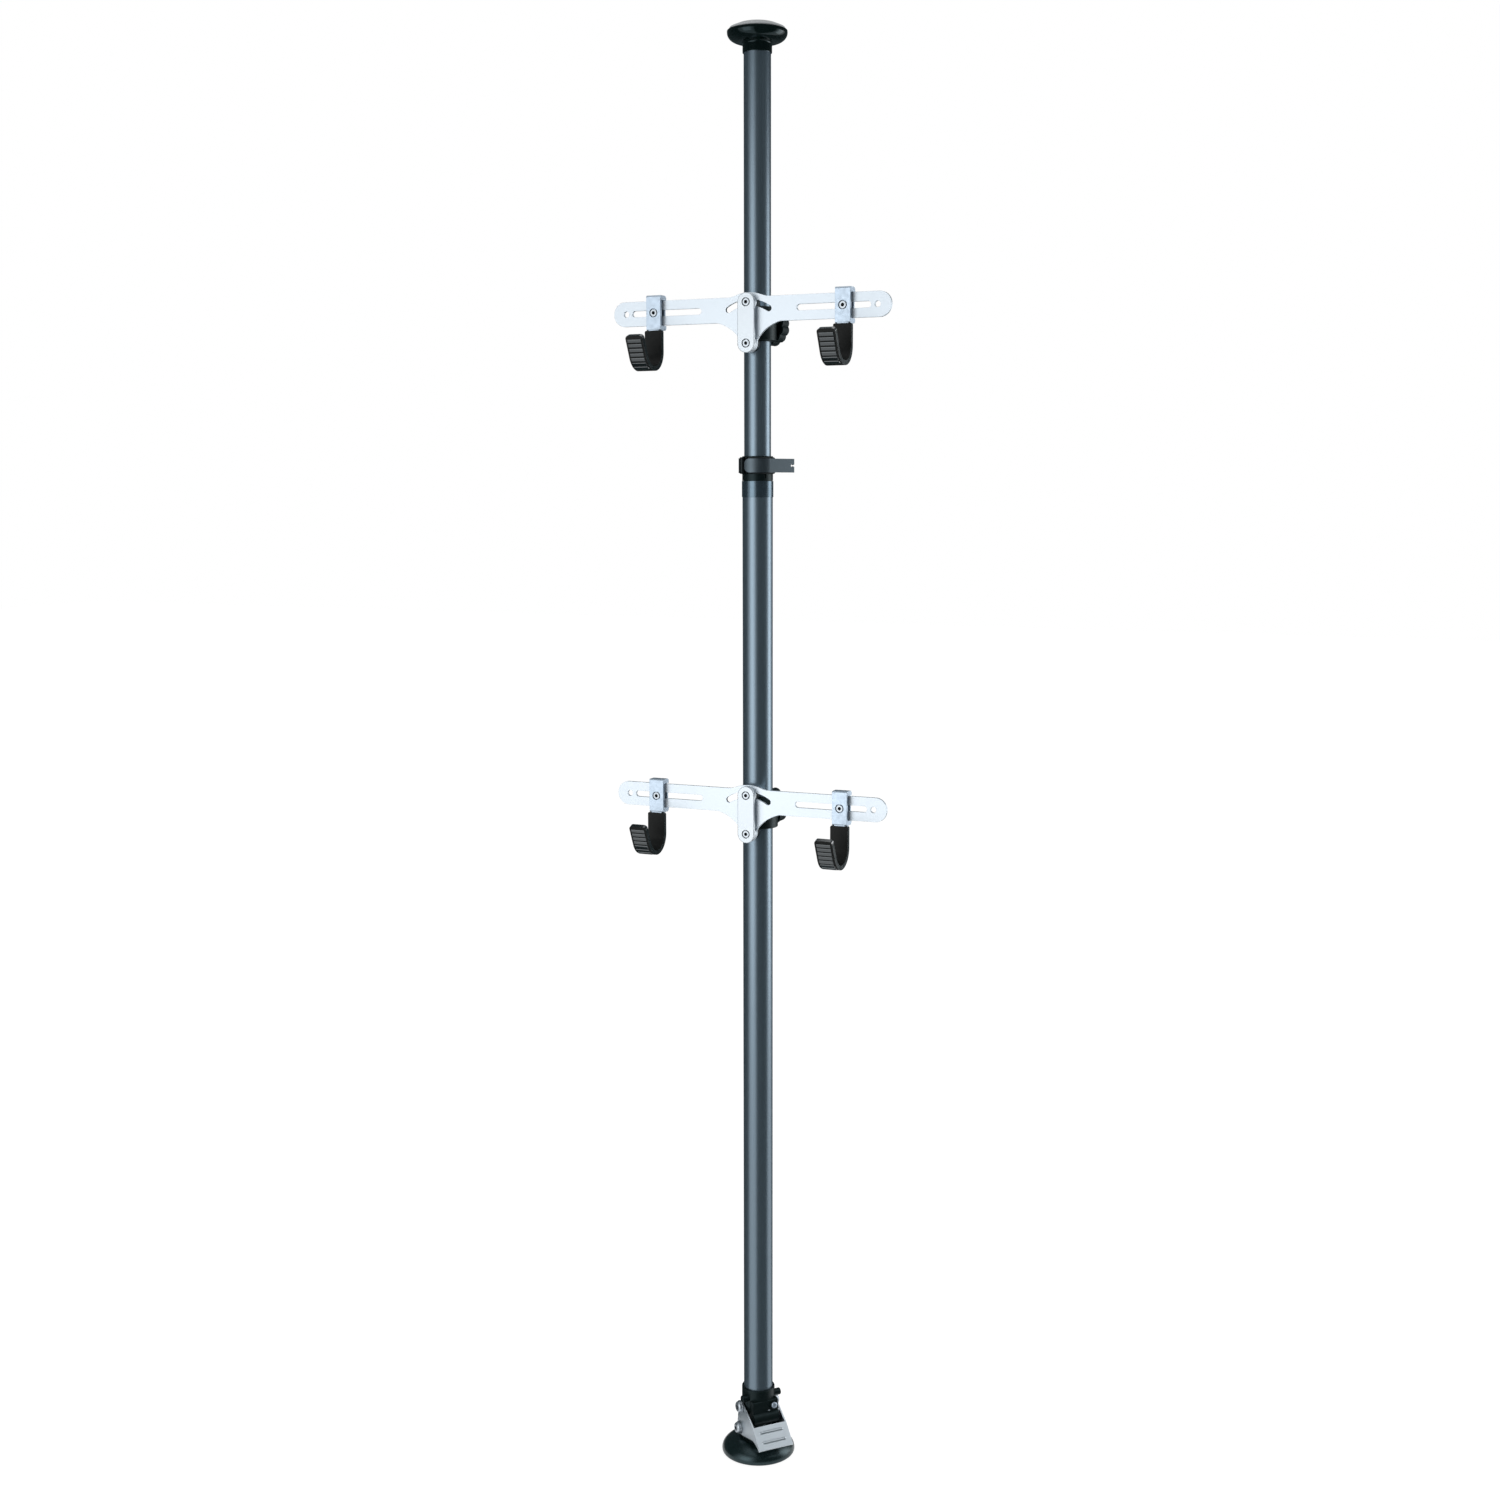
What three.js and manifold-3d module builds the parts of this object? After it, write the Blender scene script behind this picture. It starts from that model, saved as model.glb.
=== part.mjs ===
// A floor-to-ceiling storage tower for two bicycles.
// Lengths are millimetres, +Z is up, the origin is on the floor on the pole's axis, and the
// racks face -Y. "Forward" is the distance in front of the axis, so it runs along -Y.
import * as THREE from "three";
import { mergeVertices } from "three/addons/utils/BufferGeometryUtils.js";
import Module from "manifold-3d";

const wasm = await Module();
wasm.setup();

// Fits and facets
const gap = 0.3; // between pieces that touch
const looseGap = 0.5; // between pieces that slide past each other in the open
const overrun = 3; // how far a cut runs past the face that it opens
const poleSides = 24;
const boltSides = 12;
const curveSteps = 5;
const quarterTurn = 90; // degrees
const halfTurn = 180;

// Tubes
const lowerTubeRadius = 25;
const lowerTubeWall = 1.5;
const lowerTubeDrop = 723.5; // from the ceiling to the lower tube's top
const tubeStep = 1.5; // room between the tubes for the guide bush
const upperTubeWall = 1.8;
const tubeOverlap = 887.5; // how far the upper tube reaches into the lower

// Top cap and ceiling pad, measured down from the ceiling
const ceilingHeight = 2411;
const padThickness = 11;
const padRadius = 45;
const padFlatRadius = 26;
const padEdgeThickness = 4;
const capRimRadius = 48.5;
const capRimThickness = 4;
const capRimChamfer = 1;
const capFlareHeight = 17;
const capNeckHeight = 14;
const capNeckWall = 1.4;
const capSocketDepth = 24;

// Guide bush on the upper tube's lower end
const guideFlangeHeight = 35;
const guideSpigotHeight = 40;
const guideBoreRadius = 15;

// Height clamp: slit sleeve, band, quick lever and label band
const labelHeight = 26.2;
const labelThickness = 0.6;
const sleeveHeight = 40;
const sleeveWall = 3;
const sleevePlugDepth = 37;
const sleeveShoulder = 5;
const slitWidth = 2;
const slitAzimuth = 54;
const bandRise = 11.2; // from the sleeve's lower edge to the band
const bandHeight = 27;
const bandWall = 3;
const bandEdge = 1.5; // chamfer on the band's rims
const bandSplitWidth = 3;
const bandSplitAngle = -36;
const bandBlockThickness = 2.6;
const bandBlockStart = -118;
const leverAzimuth = 24;
const leverThickness = 3;
const leverEar = 2; // height of the band's ear above and below the lever
const leverPinRadius = 1.6;
const leverBarrelWall = 1.8;
const leverPinAngle = -50;
const leverLeaveAngle = 40;
const leverTailLength = 52;
const leverCornerRadius = 8;
const leverHoleRadius = 2.4;
const leverHoleInset = 5;
const leverNotchHalf = 3.2;

// Foot
const footRadius = 63.5;
const footSoleRadius = 60;
const footRimHeight = 4;
const footHeight = 27;
const footShoulderRadius = 34;
const footSocketDepth = 10;
const domeLowShare = 0.6; // the foot's outline bulges at these shares of its height
const domeHighShare = 0.86;

const yokeTop = 36;
const yokeFloor = 8; // yoke thickness under the stem
const stemWall = 3;
const stemPlug = 14;
const stemTop = 260;
const stemScrewRadius = 4;
const stemScrewHeadRadius = 8;
const stemScrewHeadHeight = 5;
const cheekThickness = 5;
const cheekBack = 21;
const cheekFront = 33;
const cheekTop = 53;
const cheekFoot = 33;

// Base collar, measured from the floor with the pedal locked down
const pedalAzimuth = 50;
const collarBottom = 76;
const collarTop = 119;
const collarWall = 3.2;
const collarSocketDepth = 18;
const collarRimChamfer = 1;
const pegRadius = 6;
const pegReach = 37;
const pegForward = 10;
const pegHeight = 104;
const pegChamfer = 1.5;
const noseFront = 29;
const noseTop = 101;
const noseCorner = 3;
const barrelRadius = 12;
const barrelForward = 24;
const barrelHeight = 69.5;
const pivotBossRadius = 8.5;

// Lock button
const buttonRadius = 5.5;
const buttonAside = 15.5;
const buttonHeight = 91.5;
const buttonBossWall = 1.8;
const buttonBossReach = 2;
const buttonLength = 8.7;
const buttonProud = 3.5;
const buttonDome = 1;
const springWire = 0.7;
const springRadius = 3.6;
const springTurns = 2.5;
const springStepsPerTurn = 8;
const springWireSides = 3; // on each half of the wire

// Pedal lever, its pivot on the collar and its cam bolts in the foot's cheeks
const pivotForward = -4;
const pivotHeight = 83.5;
const camForward = -9;
const camHeight = 42.5;
const pedalSwing = 40;
const towerDrop = 8.5;
const plateThickness = 2.5;
const pivotEyeRadius = 10.5;
const camEyeRadius = 10;
const plateWaist = 11;
const treadTopForward = 44;
const treadTopHeight = 64.5;
const treadTipForward = 71.5;
const treadTipHeight = 34.4;
const plateHeelForward = 42;
const plateHeelHeight = 41.5;
const treadRibWidth = 4;
const treadRibProud = 1.2;
const treadRibInset = 9;
const treadRibSpacing = 18;
const sideBoltRadius = 4;
const sideBoltHeadRadius = 10;
const sideBoltHeadHeight = 6;
const sideBoltWasherRadius = 11;
const sideBoltWasherHeight = 1.2;
const sideSocketWidth = 8;
const sideSocketDepth = 4;
const buttonHeadShares = [
  [1, 0.3],
  [0.85, 0.75],
  [0.5, 1],
]; // the domed head's outline, as shares of its radius and height

// Racks
const upperRackDrop = 450; // from the ceiling to the middle of the upper bar
const lowerRackHeight = 1160;
const barLength = 489;
const barHeight = 40;
const barThickness = 4.5;
const barStandoff = 9; // from the tube's surface to the back of the bar
const barHoleRadius = 5;
const barHoleInset = 23;
const barSlotInner = 84;
const barSlotEndInset = 34;
const barSlotRadius = 5;
const humpRise = 27;
const humpHalfWidth = 36;
const humpCrestShare = 0.5; // how far out the hump stays level, and where it starts to flatten
const humpFootShare = 0.7;
const lobeRadius = 14.5;
const lobeNeckHalfWidth = 55;
const lobeNeckPull = 27;
const lobeNeckDrop = 28;
const lobeMeetRise = 4.8; // above the pivot, where the neck meets the lobe
const lockBoltHeight = 11;
const pivotBoltDrop = 54;
const tiltSlotReach = 33;

// Clamp body, liner, link and knob of a rack
const linerWall = 2.5;
const linerProud = 1.2;
const clampTop = 5;
const clampBottom = -48;
const backboneRadius = 13;
const knobBossRadius = 12;
const knobBossReach = 10.5;
const knobRadius = 31.5;
const knobThickness = 26;
const knobStandoff = 12;
const knobFlutes = 12;
const stepsPerFlute = 4;
const knobFluteDepth = 2.6;
const knobHubRadius = 12;
const knobRimWall = 6;
const knobRecess = 7;
const knobSocketDepth = 15;
const studRadius = 4;
const linkRadius = 15;
const linkPlateThickness = 5;
const linkBossHeight = 6;
const boltRadius = 4;
const boltHeadRadius = 6.2;
const boltHeadHeight = 5.6;
const boltTipSetback = 1.8; // from the tube's surface to the bolt's end
const hexWidth = 5;
const hexDepth = 3;
const bushWall = 2.2;

// Hooks
const hookEndInset = 78; // from the bar's end to the middle of a hook
const bracketWidth = 26;
const bracketWeb = 5;
const bracketGap = 5.5; // between the bar and the web
const bracketFlange = 8;
const bracketDepth = 22;
const bracketFrontRound = 3;
const bracketBackRound = 6;
const hookCoreWidth = 19;
const hookCoreThickness = 4;
const hookCoverWidth = 28.5;
const hookCoverThickness = 7.5;
const hookStraight = 34;
const hookBendRadius = 29;
const hookLean = 66;
const hookTongue = 33.5;
const hookTipWall = 5;
const hookRibs = 4;
const hookRibPitch = 8;
const hookRibWidth = 3;
const hookRibProud = 1.2;
const hookRibMargin = 3;
const hookFirstRib = 2; // from the end of the tongue's straight part
const hookHeadHeight = 3;
const spacerRadius = 7.5;
const slidePlateThickness = 4;

// Sizes that follow from those above
const lowerTubeBore = lowerTubeRadius - lowerTubeWall;
const upperTubeRadius = lowerTubeBore - tubeStep;
const upperTubeBore = upperTubeRadius - upperTubeWall;
const capTop = ceilingHeight - padThickness - gap;
const capBottom = capTop - capRimThickness - capFlareHeight - capNeckHeight;
const upperTubeTop = capBottom + capSocketDepth;
const lowerTubeTop = ceilingHeight - lowerTubeDrop;
const upperTubeBottom = lowerTubeTop - tubeOverlap;
const sleeveBottom = lowerTubeTop + gap;
const bandBottom = sleeveBottom + bandRise;
const sleeveRadius = upperTubeRadius + gap + sleeveWall;
const bandTop = bandBottom + bandHeight;
const bandBore = sleeveRadius + gap;
const bandRadius = bandBore + bandWall;
const leverInner = bandRadius + looseGap;
const leverMiddle = leverInner + leverThickness / 2;
const leverBarrelRadius = leverPinRadius + gap + leverBarrelWall;
const leverPinReach = bandRadius + looseGap + leverBarrelRadius;
const stemRadius = lowerTubeBore - gap;
const yokeBottom = footHeight - footSocketDepth + gap;
const stemBottom = yokeBottom + yokeFloor + gap;
const cheekInner = lowerTubeBore + gap + looseGap;
const cheekOuter = cheekInner + cheekThickness;
const yokeRadius = cheekOuter;
const plateInner = cheekOuter + looseGap;
const plateOuter = plateInner + plateThickness;
const noseHalfWidth = cheekInner - looseGap;
const collarRadius = lowerTubeRadius + gap + collarWall;
const tubeSeat = collarTop - collarSocketDepth;
const barBackFace = barStandoff;
const barFrontFace = barStandoff + barThickness;
const linkBack = barFrontFace + gap;
const linkFront = linkBack + linkBossHeight + linkPlateThickness;
const webBack = barFrontFace + bracketGap;
const webFront = webBack + bracketWeb;
const bushRadius = boltRadius + gap + bushWall;

// Finishes
function finish(color, roughness, metalness) {
  return new THREE.MeshStandardMaterial({ color, roughness, metalness });
}
const anodised = finish(0x4a545c, 0.35, 0.85);
const satinAluminium = finish(0xdfe6ec, 0.35, 0.8);
const castAluminium = finish(0xb9c4d2, 0.45, 0.7);
const brushedSteel = finish(0xc3c6c8, 0.4, 0.9);
const boltSteel = finish(0xa9adb2, 0.3, 0.95);
const blackPlastic = finish(0x15181a, 0.45, 0);
const dippedPlastic = finish(0x0c0f0e, 0.2, 0);
const blackRubber = finish(0x14191a, 0.6, 0);
const greyRubber = finish(0xb4b8ba, 0.7, 0);
const darkAluminium = finish(0x3b4245, 0.4, 0.8);
const paleNylon = finish(0xe4e4df, 0.5, 0);

// The solid of a closed geometry, with its faces turned outwards.
function solidOf(geometry) {
  const bare = geometry.index ? geometry.toNonIndexed() : geometry;
  bare.deleteAttribute("normal");
  bare.deleteAttribute("uv");
  const merged = mergeVertices(bare, 1e-4);
  const corners = merged.index.array;
  const faces = [];
  for (let i = 0; i < corners.length; i += 3) {
    const [a, b, c] = corners.slice(i, i + 3);
    if (a !== b && b !== c && c !== a) faces.push([a, b, c]);
  }
  const build = (list) =>
    new wasm.Manifold(
      new wasm.Mesh({
        numProp: 3,
        vertProperties: new Float32Array(merged.getAttribute("position").array),
        triVerts: new Uint32Array(list.flat()),
      }),
    );
  const made = build(faces);
  return made.volume() > 0 ? made : build(faces.map(([a, b, c]) => [a, c, b]));
}

const join = (first, ...others) => others.reduce((all, next) => all.add(next), first);
const cut = (first, ...others) => others.reduce((all, next) => all.subtract(next), first);
const move = (solid, x, y, z) => solid.translate([x, y, z]);
const turnZ = (solid, degrees) => solid.rotate([0, 0, degrees]);

// A mesh of a solid, with flat faces, in its group.
function addPiece(group, name, solid, material) {
  const made = solid.getMesh();
  const geometry = new THREE.BufferGeometry();
  geometry.setAttribute("position", new THREE.BufferAttribute(made.vertProperties, made.numProp));
  geometry.setIndex(new THREE.BufferAttribute(made.triVerts, 1));
  const flat = geometry.toNonIndexed();
  flat.computeVertexNormals();
  const mesh = new THREE.Mesh(flat, material);
  mesh.name = name;
  group.add(mesh);
  return mesh;
}

// Turned shapes: a profile of [radius, height] pairs, spun about Z, about the forward axis
// or about X, where "height" runs along that axis.
function latheOf(profile, sides) {
  return new THREE.LatheGeometry(
    profile.map(([radius, along]) => new THREE.Vector2(radius, along)),
    sides,
  );
}
const turned = (profile, sides) => solidOf(latheOf(profile, sides).rotateX(Math.PI / 2));
const turnedForward = (profile, sides) => solidOf(latheOf(profile, sides).rotateZ(Math.PI));
const turnedAside = (profile, sides) => solidOf(latheOf(profile, sides).rotateZ(-Math.PI / 2));

// Profiles of a plain rod and a plain ring.
const rod = (radius, low, high) => [
  [0, low],
  [radius, low],
  [radius, high],
  [0, high],
];
const ring = (inner, outer, low, high) => [
  [inner, low],
  [outer, low],
  [outer, high],
  [inner, high],
  [inner, low],
];

// Prisms of an outline: upright, facing forward, or facing aside with x = forward, y = height.
function extrudeOf(shape, length) {
  const settings = { depth: length, bevelEnabled: false, curveSegments: curveSteps };
  return new THREE.ExtrudeGeometry(shape, settings);
}
function uprightPrism(shape, low, high) {
  return solidOf(extrudeOf(shape, high - low).translate(0, 0, low));
}
function forwardPrism(shape, back, front) {
  return solidOf(extrudeOf(shape, front - back).rotateX(Math.PI / 2).translate(0, -back, 0));
}
function asidePrism(shape, low, high) {
  const toSide = new THREE.Matrix4().set(0, 0, -1, high, -1, 0, 0, 0, 0, 1, 0, 0, 0, 0, 0, 1);
  return solidOf(extrudeOf(shape, high - low).applyMatrix4(toSide));
}

const outline = (points) => new THREE.Shape(points.map(([x, y]) => new THREE.Vector2(x, y)));
const rectangle = (left, bottom, right, top) =>
  outline([
    [left, bottom],
    [right, bottom],
    [right, top],
    [left, top],
  ]);
const polar = (radius, degrees) => {
  const turn = THREE.MathUtils.degToRad(degrees);
  return [radius * Math.sin(turn), -radius * Math.cos(turn)];
};
function hexagon(acrossFlats) {
  const corner = acrossFlats / Math.sqrt(3);
  return outline(Array.from({ length: 6 }, (_, i) => polar(corner, i * 60)));
}

// The outline of a strip along a path, with each end round or square.
function strip(path, halfWidth, roundStart, roundEnd) {
  const points = path.map(([x, y]) => new THREE.Vector2(x, y));
  const last = points.length - 1;
  const sides = points.map((point, i) => {
    const ahead = points[Math.min(i + 1, last)];
    const behind = points[Math.max(i - 1, 0)];
    const along = ahead.clone().sub(behind).normalize();
    const across = new THREE.Vector2(-along.y, along.x).multiplyScalar(halfWidth);
    return { point, along: along.multiplyScalar(halfWidth), across };
  });
  const cap = ({ point, along, across }, sign) =>
    Array.from({ length: curveSteps + 1 }, (_, i) => {
      const turn = (Math.PI * (i + 1)) / (curveSteps + 2);
      return point
        .clone()
        .addScaledVector(across, sign * Math.cos(turn))
        .addScaledVector(along, sign * Math.sin(turn));
    });
  return new THREE.Shape([
    ...sides.map(({ point, across }) => point.clone().add(across)),
    ...(roundEnd ? cap(sides[last], 1) : []),
    ...sides.map(({ point, across }) => point.clone().sub(across)).reverse(),
    ...(roundStart ? cap(sides[0], -1) : []),
  ]);
}

// Points on an arc about a centre, from one angle to another, in degrees from the x axis.
function arcPoints(centreX, centreY, radius, from, to, steps) {
  return Array.from({ length: steps + 1 }, (_, i) => {
    const turn = THREE.MathUtils.degToRad(from + ((to - from) * i) / steps);
    return [centreX + radius * Math.cos(turn), centreY + radius * Math.sin(turn)];
  });
}

// A socket-head bolt along an axis, seen from its head: the head's outer face is at headTop.
function socketBolt(headTop, headHeight, headRadius, shankEnd, shankRadius) {
  const headBase = headTop - headHeight;
  const profile = [
    [0, shankEnd],
    [shankRadius, shankEnd],
    [shankRadius, headBase],
    [headRadius, headBase],
    [headRadius, headTop],
    [0, headTop],
  ];
  const socket = forwardPrism(hexagon(hexWidth), headTop - hexDepth, headTop + overrun);
  return cut(turnedForward(profile, boltSides), socket);
}

// The two tubes
function addTubes(group) {
  const lower = ring(lowerTubeBore, lowerTubeRadius, tubeSeat + gap, lowerTubeTop);
  const upper = ring(upperTubeBore, upperTubeRadius, upperTubeBottom + gap, upperTubeTop);
  addPiece(group, "lower_tube", turned(lower, poleSides), anodised);
  addPiece(group, "upper_tube", turned(upper, poleSides), anodised);
}

// The bush that guides the upper tube's end inside the lower one
function addInnerGuide(group) {
  const spigot = upperTubeBore - gap;
  const profile = [
    [guideBoreRadius, upperTubeBottom - guideFlangeHeight],
    [lowerTubeBore - gap, upperTubeBottom - guideFlangeHeight],
    [lowerTubeBore - gap, upperTubeBottom],
    [spigot, upperTubeBottom],
    [spigot, upperTubeBottom + guideSpigotHeight],
    [guideBoreRadius, upperTubeBottom + guideSpigotHeight],
    [guideBoreRadius, upperTubeBottom - guideFlangeHeight],
  ];
  addPiece(group, "inner_guide", turned(profile, poleSides), paleNylon);
}

// The flared cap on the upper tube, and the pad that meets the ceiling
function addTop(group) {
  const socket = upperTubeRadius + gap;
  const neck = socket + capNeckWall;
  const flareBottom = capBottom + capNeckHeight;
  const rimBottom = capTop - capRimThickness;
  const flare = new THREE.Path();
  flare.moveTo(neck, capBottom);
  flare.lineTo(neck, flareBottom);
  flare.quadraticCurveTo(neck, rimBottom, capRimRadius, rimBottom);
  const profile = [
    [socket, capBottom],
    ...flare.getPoints(curveSteps).map(({ x, y }) => [x, y]),
    [capRimRadius, capTop - capRimChamfer],
    [capRimRadius - capRimChamfer, capTop],
    [0, capTop],
    [0, upperTubeTop + gap],
    [socket, upperTubeTop + gap],
    [socket, capBottom],
  ];
  addPiece(group, "top_cap", turned(profile, poleSides), blackPlastic);

  const padBottom = capTop + gap;
  const dome = new THREE.Path();
  dome.moveTo(padRadius, padBottom);
  dome.lineTo(padRadius, padBottom + padEdgeThickness);
  dome.quadraticCurveTo(padRadius - padEdgeThickness, ceilingHeight, padFlatRadius, ceilingHeight);
  const padProfile = [
    [0, padBottom],
    ...dome.getPoints(curveSteps).map(({ x, y }) => [x, y]),
    [0, ceilingHeight],
  ];
  addPiece(group, "ceiling_pad", turned(padProfile, poleSides), greyRubber);
}

// The slit sleeve that the clamp squeezes on the upper tube, and the bare band under it
function addSleeve(group) {
  const bore = upperTubeRadius + gap;
  const profile = [
    [bore, sleeveBottom - sleevePlugDepth],
    [lowerTubeBore - gap, sleeveBottom - sleevePlugDepth],
    [lowerTubeBore - gap, sleeveBottom],
    [sleeveRadius, sleeveBottom],
    [sleeveRadius, sleeveBottom + sleeveHeight],
    [bore, sleeveBottom + sleeveHeight],
    [bore, sleeveBottom - sleevePlugDepth],
  ];
  const across = sleeveRadius + overrun;
  const slit = uprightPrism(
    rectangle(-slitWidth / 2, -across, slitWidth / 2, across),
    sleeveBottom + sleeveShoulder,
    sleeveBottom + sleeveHeight + overrun,
  );
  const sleeve = cut(turned(profile, poleSides), turnZ(slit, slitAzimuth));
  addPiece(group, "lock_sleeve", sleeve, blackPlastic);

  const inner = lowerTubeRadius + gap;
  const label = ring(inner, inner + labelThickness, lowerTubeTop - labelHeight, lowerTubeTop);
  addPiece(group, "label_band", turned(label, poleSides), blackPlastic);
}

// The split band round the sleeve, with a block and two ears that hold the lever's pin
function addClampBand(group) {
  const profile = [
    [bandBore, bandBottom],
    [bandRadius - bandEdge, bandBottom],
    [bandRadius, bandBottom + bandEdge],
    [bandRadius, bandTop - bandEdge],
    [bandRadius - bandEdge, bandTop],
    [bandBore, bandTop],
    [bandBore, bandBottom],
  ];
  const blockRadius = bandRadius + bandBlockThickness;
  const middle = (bandBore + blockRadius) / 2;
  const path = (from, to) =>
    Array.from({ length: curveSteps + 1 }, (_, i) =>
      polar(middle, from + ((to - from) * i) / curveSteps),
    );
  const half = (blockRadius - bandBore) / 2;
  const pinHalfAngle = THREE.MathUtils.radToDeg(leverBarrelRadius / leverPinReach);
  const blockEnd = leverPinAngle - 2 * pinHalfAngle;
  const block = uprightPrism(
    strip(path(bandBlockStart, blockEnd), half, false, false),
    bandBottom + bandEdge,
    bandTop - bandEdge,
  );
  const [pinX, pinY] = polar(leverPinReach, leverPinAngle);
  const [rootX, rootY] = polar(bandRadius - bandWall / 2, leverPinAngle - pinHalfAngle);
  const ear = strip([[rootX, rootY], [pinX, pinY]], leverBarrelRadius, false, true);
  const sleeveRoom = turned(rod(bandBore, bandBottom - overrun, bandTop + overrun), poleSides);
  const ears = cut(
    join(
      uprightPrism(ear, bandBottom, bandBottom + leverEar),
      uprightPrism(ear, bandTop - leverEar, bandTop),
    ),
    sleeveRoom,
  );
  const pinHole = turned(rod(leverPinRadius + gap, bandBottom - overrun, bandTop + overrun), boltSides);
  const split = uprightPrism(
    rectangle(-bandSplitWidth / 2, -bandRadius - overrun, bandSplitWidth / 2, -bandBore / 2),
    bandBottom - overrun,
    bandTop + overrun,
  );
  const band = cut(
    join(turned(profile, poleSides), block, ears),
    move(pinHole, pinX, pinY, 0),
    turnZ(split, bandSplitAngle),
  );
  addPiece(group, "clamp_band", band, darkAluminium);
  const pin = turned(rod(leverPinRadius, bandBottom, bandTop), boltSides);
  addPiece(group, "lever_pin", move(pin, pinX, pinY, 0), boltSteel);
}

// The quick lever: a strap round the band's front, with a straight tail and a hanging hole
function addQuickLever(group) {
  const low = bandBottom + leverEar + gap;
  const high = bandTop - leverEar - gap;
  const centre = (low + high) / 2;
  const wrap = Array.from({ length: 3 * curveSteps + 1 }, (_, i) =>
    polar(leverMiddle, leverPinAngle + ((leverLeaveAngle - leverPinAngle) * i) / (3 * curveSteps)),
  );
  const leave = THREE.MathUtils.degToRad(leverLeaveAngle);
  const [leaveX, leaveY] = wrap[wrap.length - 1];
  const tip = [leaveX + leverTailLength * Math.cos(leave), leaveY + leverTailLength * Math.sin(leave)];
  const strap = uprightPrism(strip([...wrap, tip], leverThickness / 2, false, false), low, high);
  const [pinX, pinY] = polar(leverPinReach, leverPinAngle);
  const barrel = move(turned(rod(leverBarrelRadius, low, high), boltSides), pinX, pinY, 0);
  const bore = turned(rod(leverPinRadius + gap, low - overrun, high + overrun), boltSides);

  const holeAlong = leverTailLength - leverHoleInset;
  const notch = outline([
    [holeAlong, centre],
    [leverTailLength + overrun, centre - leverNotchHalf],
    [leverTailLength + overrun, centre + leverNotchHalf],
  ]);
  const hole = new THREE.Shape();
  hole.absarc(holeAlong, centre, leverHoleRadius, 0, 2 * Math.PI);
  const opening = join(
    forwardPrism(notch, -leverThickness - overrun, leverThickness + overrun),
    forwardPrism(hole, -leverThickness - overrun, leverThickness + overrun),
  );
  const placed = move(turnZ(opening, leverLeaveAngle), leaveX, leaveY, 0);

  const left = pinX - leverBarrelRadius - overrun;
  const rounded = new THREE.Shape();
  rounded.moveTo(pinX - leverBarrelRadius, centre);
  rounded.lineTo(left, centre);
  rounded.lineTo(left, high + overrun);
  rounded.lineTo(pinX, high + overrun);
  rounded.lineTo(pinX, high);
  rounded.quadraticCurveTo(
    pinX - leverBarrelRadius,
    high,
    pinX - leverBarrelRadius,
    high - leverCornerRadius,
  );
  const upperCorner = forwardPrism(rounded, -bandRadius, leverPinReach + leverBarrelRadius + overrun);
  const lowerCorner = upperCorner.mirror([0, 0, 1]).translate([0, 0, 2 * centre]);
  const lever = cut(join(strap, barrel), move(bore, pinX, pinY, 0), placed, upperCorner, lowerCorner);
  addPiece(group, "quick_lever", lever, darkAluminium);
}

// The rubber foot
function addFootPad(group) {
  const dome = new THREE.Path();
  dome.moveTo(footSoleRadius, 0);
  dome.quadraticCurveTo(footRadius, 0, footRadius, footRimHeight);
  dome.bezierCurveTo(
    footRadius,
    footHeight * domeLowShare,
    (footRadius + footShoulderRadius) / 2,
    footHeight * domeHighShare,
    footShoulderRadius,
    footHeight,
  );
  const socket = yokeRadius + gap;
  const profile = [
    [0, 0],
    ...dome.getPoints(curveSteps).map(({ x, y }) => [x, y]),
    [socket, footHeight],
    [socket, footHeight - footSocketDepth],
    [0, footHeight - footSocketDepth],
  ];
  addPiece(group, "foot_pad", turned(profile, poleSides), blackRubber);
}

// Where a cam bolt stands when the pedal has swung up by a share of its travel. The tower
// drops in proportion to the swing, and the slot's curve takes up the difference.
function camPlace(share) {
  const reach = Math.hypot(camForward - pivotForward, pivotHeight - camHeight);
  const start = Math.atan2(camForward - pivotForward, pivotHeight - camHeight);
  const turn = start + share * THREE.MathUtils.degToRad(pedalSwing);
  return [
    pivotForward + reach * Math.sin(turn),
    pivotHeight - share * towerDrop - reach * Math.cos(turn),
  ];
}

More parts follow.
